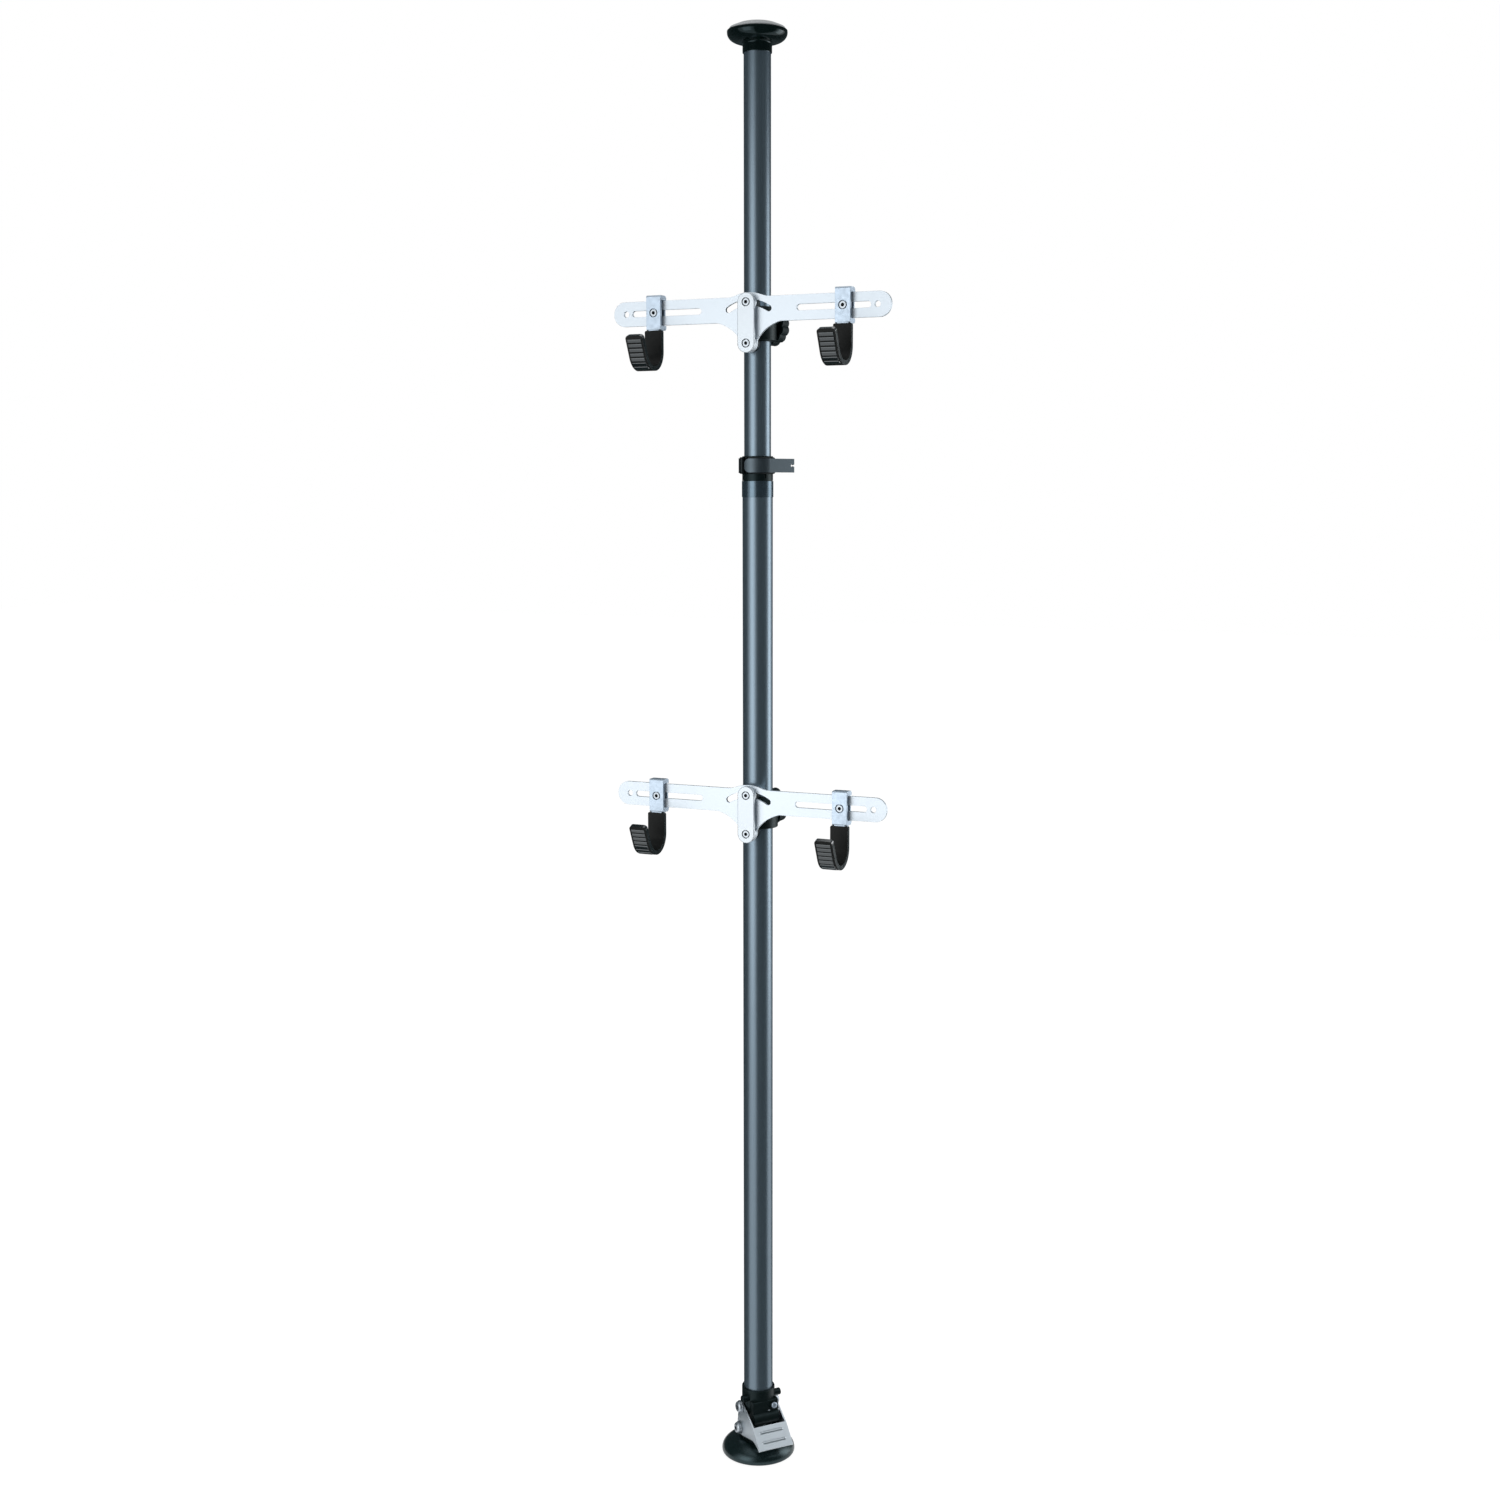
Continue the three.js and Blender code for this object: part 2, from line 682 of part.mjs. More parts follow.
// The foot's yoke with its two cam cheeks, the guide stem and the screw that joins them
function addFootCore(group) {
  const base = turned(rod(yokeRadius, yokeBottom, yokeTop), poleSides);
  const cheekShape = outline([
    [-cheekBack, cheekFoot],
    [cheekFront, cheekFoot],
    [cheekFront, cheekTop - cheekThickness],
    [cheekFront - cheekThickness, cheekTop],
    [-cheekBack + cheekThickness, cheekTop],
    [-cheekBack, cheekTop - cheekThickness],
  ]);
  const travel = Array.from({ length: curveSteps + 3 }, (_, i) => camPlace(i / (curveSteps + 2)));
  const slot = strip(travel, sideBoltRadius + looseGap, true, true);
  const reach = cheekOuter + overrun;
  const yoke = cut(
    join(
      base,
      asidePrism(cheekShape, cheekInner, cheekOuter),
      asidePrism(cheekShape, -cheekOuter, -cheekInner),
    ),
    asidePrism(slot, -reach, reach),
    turned(rod(stemRadius + gap, stemBottom - gap, yokeTop + overrun), poleSides),
    turned(rod(stemScrewRadius + gap, yokeBottom - overrun, stemBottom), boltSides),
    turned(
      rod(stemScrewHeadRadius + gap, yokeBottom - overrun, yokeBottom + stemScrewHeadHeight),
      boltSides,
    ),
  );
  addPiece(group, "foot_yoke", yoke, blackPlastic);

  const plugTop = stemBottom + stemPlug;
  const stemProfile = [
    [stemScrewRadius + gap, stemBottom],
    [stemRadius, stemBottom],
    [stemRadius, stemTop],
    [stemRadius - stemWall, stemTop],
    [stemRadius - stemWall, plugTop],
    [stemScrewRadius + gap, plugTop],
    [stemScrewRadius + gap, stemBottom],
  ];
  addPiece(group, "foot_stem", turned(stemProfile, poleSides), blackPlastic);

  const headTop = yokeBottom + stemScrewHeadHeight - gap;
  const screwProfile = [
    [0, yokeBottom],
    [stemScrewHeadRadius, yokeBottom],
    [stemScrewHeadRadius, headTop],
    [stemScrewRadius, headTop],
    [stemScrewRadius, plugTop],
    [0, plugTop],
  ];
  addPiece(group, "stem_screw", turned(screwProfile, boltSides), boltSteel);
}

// The collar on the tube's lower end: ring, stop pegs, pivot bosses, nose and button boss
function addBaseCollar(group) {
  const body = [
    [stemRadius + gap, collarBottom],
    [collarRadius, collarBottom],
    [collarRadius, collarTop - collarRimChamfer],
    [collarRadius - collarRimChamfer, collarTop],
    [lowerTubeRadius + gap, collarTop],
    [lowerTubeRadius + gap, tubeSeat],
    [stemRadius + gap, tubeSeat],
    [stemRadius + gap, collarBottom],
  ];
  const peg = [
    [0, -pegReach],
    [pegRadius - pegChamfer, -pegReach],
    [pegRadius, -pegReach + pegChamfer],
    [pegRadius, pegReach - pegChamfer],
    [pegRadius - pegChamfer, pegReach],
    [0, pegReach],
  ];
  const noseShape = new THREE.Shape();
  noseShape.moveTo(0, noseTop);
  noseShape.lineTo(noseFront - noseCorner, noseTop);
  noseShape.lineTo(noseFront, noseTop - noseCorner);
  noseShape.lineTo(noseFront, barrelHeight);
  noseShape.lineTo(barrelForward, barrelHeight - barrelRadius);
  noseShape.lineTo(0, barrelHeight - barrelRadius);
  const bossReach = plateInner - gap;
  const pivotBosses = move(
    turnedAside(rod(pivotBossRadius, -bossReach, bossReach), boltSides),
    0,
    -pivotForward,
    pivotHeight,
  );
  const buttonBoss = turnedForward(
    rod(buttonRadius + gap + buttonBossWall, barrelForward, noseFront + buttonBossReach),
    boltSides,
  );
  const boltHole = turnedAside(rod(sideBoltRadius + gap, -plateOuter, plateOuter), boltSides);
  const buttonHole = turnedForward(
    rod(buttonRadius + gap, buttonSeat(), noseFront + buttonBossReach + overrun),
    boltSides,
  );
  const stemRoom = turned(rod(stemRadius + gap, 0, tubeSeat), poleSides);
  const tubeRoom = turned(rod(lowerTubeRadius + gap, tubeSeat, collarTop + overrun), poleSides);
  const noseBarrel = turnedAside(rod(barrelRadius, -noseHalfWidth, noseHalfWidth), boltSides);
  const collar = cut(
    join(
      turned(body, poleSides),
      move(turnedAside(peg, boltSides), 0, -pegForward, pegHeight),
      asidePrism(noseShape, -noseHalfWidth, noseHalfWidth),
      move(noseBarrel, 0, -barrelForward, barrelHeight),
      pivotBosses,
      move(buttonBoss, buttonAside, 0, buttonHeight),
    ),
    stemRoom,
    tubeRoom,
    move(boltHole, 0, -pivotForward, pivotHeight),
    move(buttonHole, buttonAside, 0, buttonHeight),
  );
  addPiece(group, "base_collar", collar, blackPlastic);
}

// How far forward the lock button's hole begins: just in front of the stem's bore
function buttonSeat() {
  const bore = stemRadius + gap;
  const nearSide = buttonAside - buttonRadius - gap;
  return Math.sqrt(bore * bore - nearSide * nearSide) + looseGap;
}

// The lock button and the coil spring behind it
function addLockButton(group) {
  const front = noseFront + buttonBossReach + buttonProud;
  const back = front - buttonLength;
  const profile = [
    [0, back],
    [buttonRadius, back],
    [buttonRadius, front - buttonDome],
    [buttonRadius - buttonDome, front],
    [0, front],
  ];
  const button = move(turnedForward(profile, boltSides), buttonAside, 0, buttonHeight);
  addPiece(group, "lock_button", button, castAluminium);

  const seat = buttonSeat() + gap + springWire / 2;
  const head = back - gap - springWire / 2;
  const steps = springStepsPerTurn * springTurns;
  const coil = Array.from({ length: steps + 1 }, (_, i) => {
    const turn = (2 * Math.PI * i) / springStepsPerTurn;
    const along = seat + ((head - seat) * i) / steps;
    return new THREE.Vector3(springRadius * Math.cos(turn), -along, springRadius * Math.sin(turn));
  });
  const wire = new THREE.Shape();
  wire.absarc(0, 0, springWire / 2, 0, 2 * Math.PI);
  const spring = new THREE.ExtrudeGeometry(wire, {
    steps,
    extrudePath: new THREE.CatmullRomCurve3(coil),
    curveSegments: springWireSides,
  });
  addPiece(group, "lock_spring", move(solidOf(spring), buttonAside, 0, buttonHeight), boltSteel);
}

// The pedal: two side plates and a sloping tread with two raised ribs, bent from one sheet
function addPedal(group) {
  const side = new THREE.Shape();
  side.moveTo(treadTopForward, treadTopHeight);
  side.lineTo(treadTipForward, treadTipHeight);
  side.lineTo(treadTipForward - plateThickness, treadTipHeight - plateThickness);
  side.quadraticCurveTo(
    (plateHeelForward + treadTipForward) / 2,
    plateHeelHeight,
    plateHeelForward,
    plateHeelHeight,
  );
  side.lineTo(camForward + camEyeRadius, camHeight - camEyeRadius);
  side.lineTo(camForward, camHeight - camEyeRadius);
  side.absarc(camForward, camHeight, camEyeRadius, -Math.PI / 2, -Math.PI, true);
  side.quadraticCurveTo(
    pivotForward - plateWaist,
    (camHeight + pivotHeight) / 2,
    pivotForward - pivotEyeRadius,
    pivotHeight,
  );
  side.absarc(pivotForward, pivotHeight, pivotEyeRadius, Math.PI, Math.PI / 3, true);

  const slope = Math.atan2(treadTopHeight - treadTipHeight, treadTipForward - treadTopForward);
  const inX = plateThickness * Math.sin(slope);
  const inY = plateThickness * Math.cos(slope);
  const tread = outline([
    [treadTopForward, treadTopHeight],
    [treadTipForward, treadTipHeight],
    [treadTipForward - inX, treadTipHeight - inY],
    [treadTopForward - inX, treadTopHeight - inY],
  ]);
  const ribPlace = (along) => [
    treadTopForward + along * Math.cos(slope),
    treadTopHeight - along * Math.sin(slope),
  ];
  const ribs = [0, 1].map((i) => {
    const along = treadRibInset + i * treadRibSpacing;
    const [x, y] = ribPlace(along);
    const [farX, farY] = ribPlace(along + treadRibWidth);
    const outX = treadRibProud * Math.sin(slope);
    const outY = treadRibProud * Math.cos(slope);
    const section = outline([
      [x - inX / 2, y - inY / 2],
      [farX - inX / 2, farY - inY / 2],
      [farX + outX / 2, farY + outY / 2],
      [(x + farX) / 2 + outX, (y + farY) / 2 + outY],
      [x + outX / 2, y + outY / 2],
    ]);
    const half = plateInner - treadRibInset;
    return asidePrism(section, -half, half);
  });
  const hole = (forward, height) => {
    const reach = plateOuter + overrun;
    const bore = turnedAside(rod(sideBoltRadius + gap, -reach, reach), boltSides);
    return move(bore, 0, -forward, height);
  };
  const pedal = cut(
    join(
      asidePrism(side, plateInner, plateOuter),
      asidePrism(side, -plateOuter, -plateInner),
      asidePrism(tread, -plateOuter, plateOuter),
      ...ribs,
    ),
    hole(pivotForward, pivotHeight),
    hole(camForward, camHeight),
  );
  addPiece(group, "pedal_lever", pedal, brushedSteel);
}

// The button-head bolts at the pedal's sides: two at its pivot, two in the cam slots
function addPedalBolts(group) {
  const washerTop = plateOuter + gap + sideBoltWasherHeight;
  const headTop = washerTop + sideBoltHeadHeight;
  const profile = [
    [0, cheekInner + gap],
    [sideBoltRadius, cheekInner + gap],
    [sideBoltRadius, plateOuter + gap],
    [sideBoltWasherRadius, plateOuter + gap],
    [sideBoltWasherRadius, washerTop],
    [sideBoltHeadRadius, washerTop],
    ...buttonHeadShares.map(([out, up]) => [
      sideBoltHeadRadius * out,
      washerTop + sideBoltHeadHeight * up,
    ]),
    [0, headTop],
  ];
  const socket = asidePrism(hexagon(sideSocketWidth), headTop - sideSocketDepth, headTop + overrun);
  const right = cut(turnedAside(profile, boltSides), socket);
  const left = right.mirror([1, 0, 0]);
  for (const [side, bolt] of Object.entries({ right, left })) {
    const pivotBolt = move(bolt, 0, -pivotForward, pivotHeight);
    const camBolt = move(bolt, 0, -camForward, camHeight);
    addPiece(group, `pedal_bolt_${side}`, pivotBolt, boltSteel);
    addPiece(group, `cam_bolt_${side}`, camBolt, boltSteel);
  }
}

// The bar's outline: its right half from the hump down to the lobe, then the same mirrored
function barShape() {
  const half = barHeight / 2;
  const end = barLength / 2 - half;
  const right = new THREE.Path();
  right.moveTo(0, humpRise);
  right.bezierCurveTo(
    humpHalfWidth * humpCrestShare,
    humpRise,
    humpHalfWidth * humpFootShare,
    half,
    humpHalfWidth,
    half,
  );
  right.lineTo(end, half);
  right.absarc(end, 0, half, Math.PI / 2, -Math.PI / 2, true);
  right.lineTo(lobeNeckHalfWidth, -half);
  right.quadraticCurveTo(
    lobeNeckPull,
    -lobeNeckDrop,
    lobeRadius,
    -pivotBoltDrop + lobeMeetRise,
  );
  right.absarc(0, -pivotBoltDrop, lobeRadius, 0, -Math.PI / 2, true);
  const points = right.getPoints(curveSteps).map(({ x, y }) => [x, y]);
  const inner = points.slice(1, -1);
  return outline([...points, ...inner.map(([x, y]) => [-x, y]).reverse()]);
}

// The slotted bar
function addBar(group, prefix, tubeRadius) {
  const back = tubeRadius + barBackFace;
  const front = tubeRadius + barFrontFace;
  const slotFrom = barSlotInner + barSlotRadius;
  const slotTo = barLength / 2 - barSlotEndInset - barSlotRadius;
  const slotReach = lockBoltHeight + pivotBoltDrop;
  const tiltSlot = strip(
    arcPoints(0, -pivotBoltDrop, slotReach, quarterTurn - tiltSlotReach, quarterTurn + tiltSlotReach, 2 * curveSteps),
    barSlotRadius,
    true,
    true,
  );
  const slots = [tiltSlot];
  const pivotHole = turnedForward(rod(bushRadius + gap, back - overrun, front + overrun), boltSides);
  const endHole = turnedForward(rod(barHoleRadius, back - overrun, front + overrun), boltSides);
  const holes = [move(pivotHole, 0, 0, -pivotBoltDrop)];
  for (const side of [-1, 1]) {
    slots.push(strip([[side * slotFrom, 0], [side * slotTo, 0]], barSlotRadius, true, true));
    holes.push(move(endHole, side * (barLength / 2 - barHoleInset), 0, 0));
  }
  const bar = cut(
    forwardPrism(barShape(), back, front),
    ...slots.map((slot) => forwardPrism(slot, back - overrun, front + overrun)),
    ...holes,
  );
  addPiece(group, `${prefix}_bar`, bar, satinAluminium);
}

// The liner, and the clamp body with its backbone in front and its knob boss behind
function addClampBody(group, prefix, tubeRadius) {
  const linerRadius = tubeRadius + gap + linerWall;
  const liner = ring(tubeRadius + gap, linerRadius, clampBottom - linerProud, clampTop + linerProud);
  addPiece(group, `${prefix}_liner`, turned(liner, poleSides), blackPlastic);

  const bore = linerRadius + gap;
  const face = tubeRadius + barBackFace - gap;
  const spine = strip([[0, -pivotBoltDrop], [0, lockBoltHeight]], backboneRadius, true, true);
  const tubeRoom = turned(
    rod(tubeRadius + 2 * gap, -pivotBoltDrop - 2 * lobeRadius, humpRise + overrun),
    poleSides,
  );
  const linerLow = clampBottom - linerProud - gap;
  const linerHigh = clampTop + linerProud + gap;
  const boltHole = (height) => {
    const hole = turnedForward(rod(boltRadius + gap, 0, face + overrun), boltSides);
    return move(hole, 0, 0, height);
  };
  const knobMiddle = (lockBoltHeight - pivotBoltDrop) / 2;
  const boss = turnedForward(rod(knobBossRadius, -tubeRadius - knobBossReach, 0), boltSides);
  const studHole = turnedForward(rod(studRadius + gap, -tubeRadius - knobStandoff, 0), boltSides);
  const body = cut(
    join(
      turned(ring(bore, face, clampBottom, clampTop), poleSides),
      forwardPrism(spine, 0, face),
      move(boss, 0, 0, knobMiddle),
    ),
    tubeRoom,
    turned(rod(bore, linerLow, linerHigh), poleSides),
    move(studHole, 0, 0, knobMiddle),
    boltHole(lockBoltHeight),
    boltHole(-pivotBoltDrop),
  );
  addPiece(group, `${prefix}_clamp_body`, body, blackPlastic);
}

// The fluted knob behind the tube and its stud
function addKnob(group, prefix, tubeRadius) {
  const middle = (lockBoltHeight - pivotBoltDrop) / 2;
  const front = -tubeRadius - knobStandoff;
  const back = front - knobThickness;
  const count = knobFlutes * stepsPerFlute;
  const fluted = outline(
    Array.from({ length: count }, (_, i) => {
      const lobe = Math.abs(Math.sin((Math.PI * i) / stepsPerFlute));
      return polar(knobRadius - knobFluteDepth * (1 - lobe), (360 * i) / count);
    }),
  );
  const recess = ring(knobHubRadius, knobRadius - knobRimWall, front - knobRecess, front + overrun);
  const socket = rod(studRadius + gap, front - knobSocketDepth, front + overrun);
  const knob = cut(
    forwardPrism(fluted, back, front),
    turnedForward(recess, poleSides),
    turnedForward(socket, boltSides),
  );
  addPiece(group, `${prefix}_knob`, move(knob, 0, 0, middle), blackPlastic);

  const linerFace = -tubeRadius - gap - linerWall - gap;
  const stud = turnedForward(rod(studRadius, front - knobSocketDepth + gap, linerFace), boltSides);
  addPiece(group, `${prefix}_knob_stud`, move(stud, 0, 0, middle), boltSteel);
}

// The link in front of the bar, its two bolts and the bush that the bar tilts on
function addLink(group, prefix, tubeRadius) {
  const back = tubeRadius + linkBack;
  const plateBack = back + linkBossHeight;
  const front = tubeRadius + linkFront;
  const heights = { lock: lockBoltHeight, pivot: -pivotBoltDrop };
  const plate = forwardPrism(
    strip([[0, heights.pivot], [0, heights.lock]], linkRadius, true, true),
    plateBack,
    front,
  );
  const round = (radius, from, to, height) =>
    move(turnedForward(rod(radius, from, to), boltSides), 0, 0, height);
  const bossSides = Object.values(heights).map((height) =>
    round(linkRadius * Math.cos(Math.PI / boltSides), back, plateBack + gap, height),
  );
  const holes = Object.values(heights).flatMap((height) => [
    round(boltRadius + gap, back - overrun, front, height),
    round(boltHeadRadius + gap, front - boltHeadHeight - gap, front + overrun, height),
  ]);
  addPiece(group, `${prefix}_link`, cut(join(plate, ...bossSides), ...holes), satinAluminium);

  const shankEnd = tubeRadius + boltTipSetback;
  const bolt = socketBolt(front, boltHeadHeight, boltHeadRadius, shankEnd, boltRadius);
  for (const [use, height] of Object.entries(heights)) {
    addPiece(group, `${prefix}_${use}_bolt`, move(bolt, 0, 0, height), boltSteel);
  }
  const barBack = tubeRadius + barBackFace;
  const barFront = tubeRadius + barFrontFace;
  const bushRing = ring(boltRadius + gap, bushRadius, barBack, barFront);
  const bush = move(turnedForward(bushRing, boltSides), 0, 0, -pivotBoltDrop);
  addPiece(group, `${prefix}_pivot_bush`, bush, paleNylon);
}

// The hook's path seen from the side, as [forward, height] from the top of the straight arm,
// with its tongue lengthened or shortened by a trim
function hookPath(trim) {
  const bend = arcPoints(
    hookBendRadius,
    -hookStraight,
    hookBendRadius,
    halfTurn,
    halfTurn + quarterTurn + hookLean,
    2 * curveSteps,
  );
  const [bendX, bendY] = bend[bend.length - 1];
  const lean = THREE.MathUtils.degToRad(hookLean);
  const tongue = hookTongue + trim;
  return [
    [0, 0],
    ...bend,
    [bendX + tongue * Math.cos(lean), bendY + tongue * Math.sin(lean)],
  ];
}

// One hook with its bracket, spacer, bolt and slide plate
function addHook(group, prefix, tubeRadius, side) {
  const reach = (side === "left" ? -1 : 1) * (barLength / 2 - hookEndInset);
  const half = barHeight / 2 + gap;
  const outer = half + bracketFlange;
  const back = tubeRadius + webFront - bracketDepth;
  const front = tubeRadius + webFront;
  const inside = tubeRadius + webBack;
  const channel = new THREE.Shape();
  channel.moveTo(back, half);
  channel.lineTo(back, outer - bracketBackRound);
  channel.quadraticCurveTo(back, outer, back + bracketBackRound, outer);
  channel.lineTo(front - bracketFrontRound, outer);
  channel.quadraticCurveTo(front, outer, front, outer - bracketFrontRound);
  channel.lineTo(front, -outer + bracketFrontRound);
  channel.quadraticCurveTo(front, -outer, front - bracketFrontRound, -outer);
  channel.lineTo(back + bracketBackRound, -outer);
  channel.quadraticCurveTo(back, -outer, back, -outer + bracketBackRound);
  channel.lineTo(back, -half);
  channel.lineTo(inside, -half);
  channel.lineTo(inside, half);

  const armForward = inside + bracketWeb / 2;
  const armTop = -outer + bracketFrontRound;
  const drop = (path, top) => path.map(([x, y]) => [armForward + x, top + y]);
  const coverTop = -outer - gap;
  const core = drop(hookPath(-hookTipWall), coverTop);
  core[0] = [armForward, armTop];
  const coreHalf = hookCoreWidth / 2;
  const bolt = tubeRadius + webFront;
  const bracket = cut(
    join(
      asidePrism(channel, -bracketWidth / 2, bracketWidth / 2),
      asidePrism(strip(core, hookCoreThickness / 2, false, false), -coreHalf, coreHalf),
    ),
    turnedForward(rod(boltRadius + gap, inside - overrun, front + overrun), boltSides),
    turnedForward(
      rod(boltHeadRadius + gap, front - hookHeadHeight - gap, front + overrun),
      boltSides,
    ),
  );
  const name = (piece) => `${prefix}_${piece}_${side}`;
  addPiece(group, name("hook_bracket"), move(bracket, reach, 0, 0), castAluminium);

  const cover = strip(drop(hookPath(0), coverTop), hookCoverThickness / 2, false, true);
  const coverHalf = hookCoverWidth / 2;
  const pocket = drop(hookPath(gap - hookTipWall), coverTop);
  pocket[0] = [armForward, coverTop + overrun];
  const pocketHalf = coreHalf + gap;
  const lean = THREE.MathUtils.degToRad(hookLean);
  const path = drop(hookPath(0), coverTop);
  const [tipX, tipY] = path[path.length - 1];
  const ribs = Array.from({ length: hookRibs }, (_, i) => {
    const along = -hookFirstRib - hookRibPitch * i;
    const out = hookCoverThickness / 2;
    const at = (step, lift) => [
      tipX + (along + step) * Math.cos(lean) + lift * Math.sin(lean),
      tipY + (along + step) * Math.sin(lean) - lift * Math.cos(lean),
    ];
    const section = outline([
      at(-hookRibWidth / 2, out - hookRibProud),
      at(-hookRibWidth / 2, out + hookRibProud / 2),
      at(0, out + hookRibProud),
      at(hookRibWidth / 2, out + hookRibProud / 2),
      at(hookRibWidth / 2, out - hookRibProud),
    ]);
    return asidePrism(section, -coverHalf + hookRibMargin, coverHalf - hookRibMargin);
  });
  const dipped = cut(
    join(asidePrism(cover, -coverHalf, coverHalf), ...ribs),
    asidePrism(strip(pocket, hookCoreThickness / 2 + gap, false, false), -pocketHalf, pocketHalf),
  );
  addPiece(group, name("hook_cover"), move(dipped, reach, 0, 0), dippedPlastic);

  const plateFront = tubeRadius + barBackFace - gap;
  const plateBack = plateFront - slidePlateThickness;
  const hookBolt = socketBolt(bolt, hookHeadHeight, boltHeadRadius, plateBack, boltRadius);
  addPiece(group, name("hook_bolt"), move(hookBolt, reach, 0, 0), boltSteel);

  const spacer = ring(boltRadius + gap, spacerRadius, tubeRadius + linkBack, inside - gap);
  const placedSpacer = move(turnedForward(spacer, boltSides), reach, 0, 0);
  addPiece(group, name("hook_spacer"), placedSpacer, blackPlastic);

  const plateHalf = barHeight / 2 - gap;
  const plateShape = rectangle(-bracketWidth / 2, -plateHalf, bracketWidth / 2, plateHalf);
  const slidePlate = cut(
    forwardPrism(plateShape, plateBack, plateFront),
    turnedForward(rod(boltRadius + gap, plateBack - overrun, plateFront + overrun), boltSides),
  );
  addPiece(group, name("slide_plate"), move(slidePlate, reach, 0, 0), castAluminium);
}

// A rack, placed on its tube
function rack(prefix, tubeRadius, height) {
  const group = new THREE.Group();
  addClampBody(group, prefix, tubeRadius);
  addKnob(group, prefix, tubeRadius);
  addBar(group, prefix, tubeRadius);
  addLink(group, prefix, tubeRadius);
  addHook(group, prefix, tubeRadius, "left");
  addHook(group, prefix, tubeRadius, "right");
  group.position.z = height;
  return group;
}

const tower = new THREE.Group();
addTubes(tower);
addInnerGuide(tower);
addTop(tower);
addSleeve(tower);
addFootPad(tower);

const heightClamp = new THREE.Group();
heightClamp.rotation.z = THREE.MathUtils.degToRad(leverAzimuth);
addClampBand(heightClamp);
addQuickLever(heightClamp);
tower.add(heightClamp);

const base = new THREE.Group();
base.rotation.z = THREE.MathUtils.degToRad(pedalAzimuth);
addFootCore(base);
addBaseCollar(base);
addLockButton(base);
addPedal(base);
addPedalBolts(base);
tower.add(base);

tower.add(rack("upper", upperTubeRadius, ceilingHeight - upperRackDrop));
tower.add(rack("lower", lowerTubeRadius, lowerRackHeight));

export default tower;
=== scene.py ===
# A floor-to-ceiling storage tower for two bicycles, modelled over its CAD frame.
# Sizes are in millimetres, +Z is up and the racks face -Y. "Forward" is the distance in front
# of the pole's axis, so it runs along -Y.
import bpy
import bmesh
import math
from mathutils import Matrix, Vector


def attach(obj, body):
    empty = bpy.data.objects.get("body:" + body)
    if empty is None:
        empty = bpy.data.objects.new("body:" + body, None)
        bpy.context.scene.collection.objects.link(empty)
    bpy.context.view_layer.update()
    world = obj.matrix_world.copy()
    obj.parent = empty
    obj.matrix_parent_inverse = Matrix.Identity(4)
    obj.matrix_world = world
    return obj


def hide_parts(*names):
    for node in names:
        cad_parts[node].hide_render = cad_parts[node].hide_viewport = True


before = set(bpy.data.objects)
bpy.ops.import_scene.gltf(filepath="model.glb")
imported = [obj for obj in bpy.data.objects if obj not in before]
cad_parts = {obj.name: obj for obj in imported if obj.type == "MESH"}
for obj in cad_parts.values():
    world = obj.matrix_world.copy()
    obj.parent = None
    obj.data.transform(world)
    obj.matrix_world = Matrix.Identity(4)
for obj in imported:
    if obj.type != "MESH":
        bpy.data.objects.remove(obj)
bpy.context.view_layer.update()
mm = 0.001
joinDistance = 0.00001  # in metres
gap = 0.3  # between pieces that touch, as in the CAD
overrun = 3  # how far a cutter goes past what it cuts
print("frame loaded:", len(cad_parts), "nodes")


# The camera stands where the photographer's did, a little below the upper rack
photoCamera = {
    "azimuth": 24, "distance": 3200, "height": 1671, "pitchDown": 7.65, "roll": -0.075,
    "focalPixels": 1927, "framePixels": 1500, "poleRightOfCentre": 7.9, "sensorWidth": 36, "clipEnd": 100,
}


def addPhotoCamera(view):
    turn = math.radians(view["azimuth"])
    look = Vector((-math.sin(turn), math.cos(turn), 0))
    look.rotate(Matrix.Rotation(math.atan(view["poleRightOfCentre"] / view["focalPixels"]), 3, "Z"))
    right = look.cross(Vector((0, 0, 1)))
    look.rotate(Matrix.Rotation(math.radians(-view["pitchDown"]), 3, right))
    up = right.cross(look)
    roll = Matrix.Rotation(math.radians(view["roll"]), 3, "Z")
    axes = Matrix((right, up, -look)).transposed() @ roll
    deselectAll()
    bpy.ops.object.camera_add()
    camera = bpy.context.object
    spot = Vector((*polar(view["distance"], view["azimuth"]), view["height"])) * mm
    camera.matrix_world = Matrix.Translation(spot) @ axes.to_4x4()
    camera.data.sensor_width = view["sensorWidth"]
    camera.data.lens = view["focalPixels"] / view["framePixels"] * view["sensorWidth"]
    camera.data.clip_end = view["clipEnd"]
    bpy.context.scene.camera = camera


# Drawing and shaping by Blender's operators
pages = {  # across the page, up the page, and the way a prism is drawn out
    "top": (Vector((1, 0, 0)), Vector((0, 1, 0)), Vector((0, 0, 1))),
    "front": (Vector((1, 0, 0)), Vector((0, 0, 1)), Vector((0, -1, 0))),
    "side": (Vector((0, -1, 0)), Vector((0, 0, 1)), Vector((1, 0, 0))),
}
spindles = {  # the way out from the spindle, and the way along it
    "up": (Vector((1, 0, 0)), Vector((0, 0, 1))),
    "forward": (Vector((1, 0, 0)), Vector((0, -1, 0))),
    "aside": (Vector((0, 0, 1)), Vector((1, 0, 0))),
}
rounding = {"steps": 6, "largeSteps": 14, "largeFrom": 8}  # how finely a corner is rounded


def deselectAll():
    if bpy.context.object and bpy.context.object.mode != "OBJECT":
        bpy.ops.object.mode_set(mode="OBJECT")
    bpy.ops.object.select_all(action="DESELECT")


def pick(piece):
    deselectAll()
    piece.select_set(True)
    bpy.context.view_layer.objects.active = piece


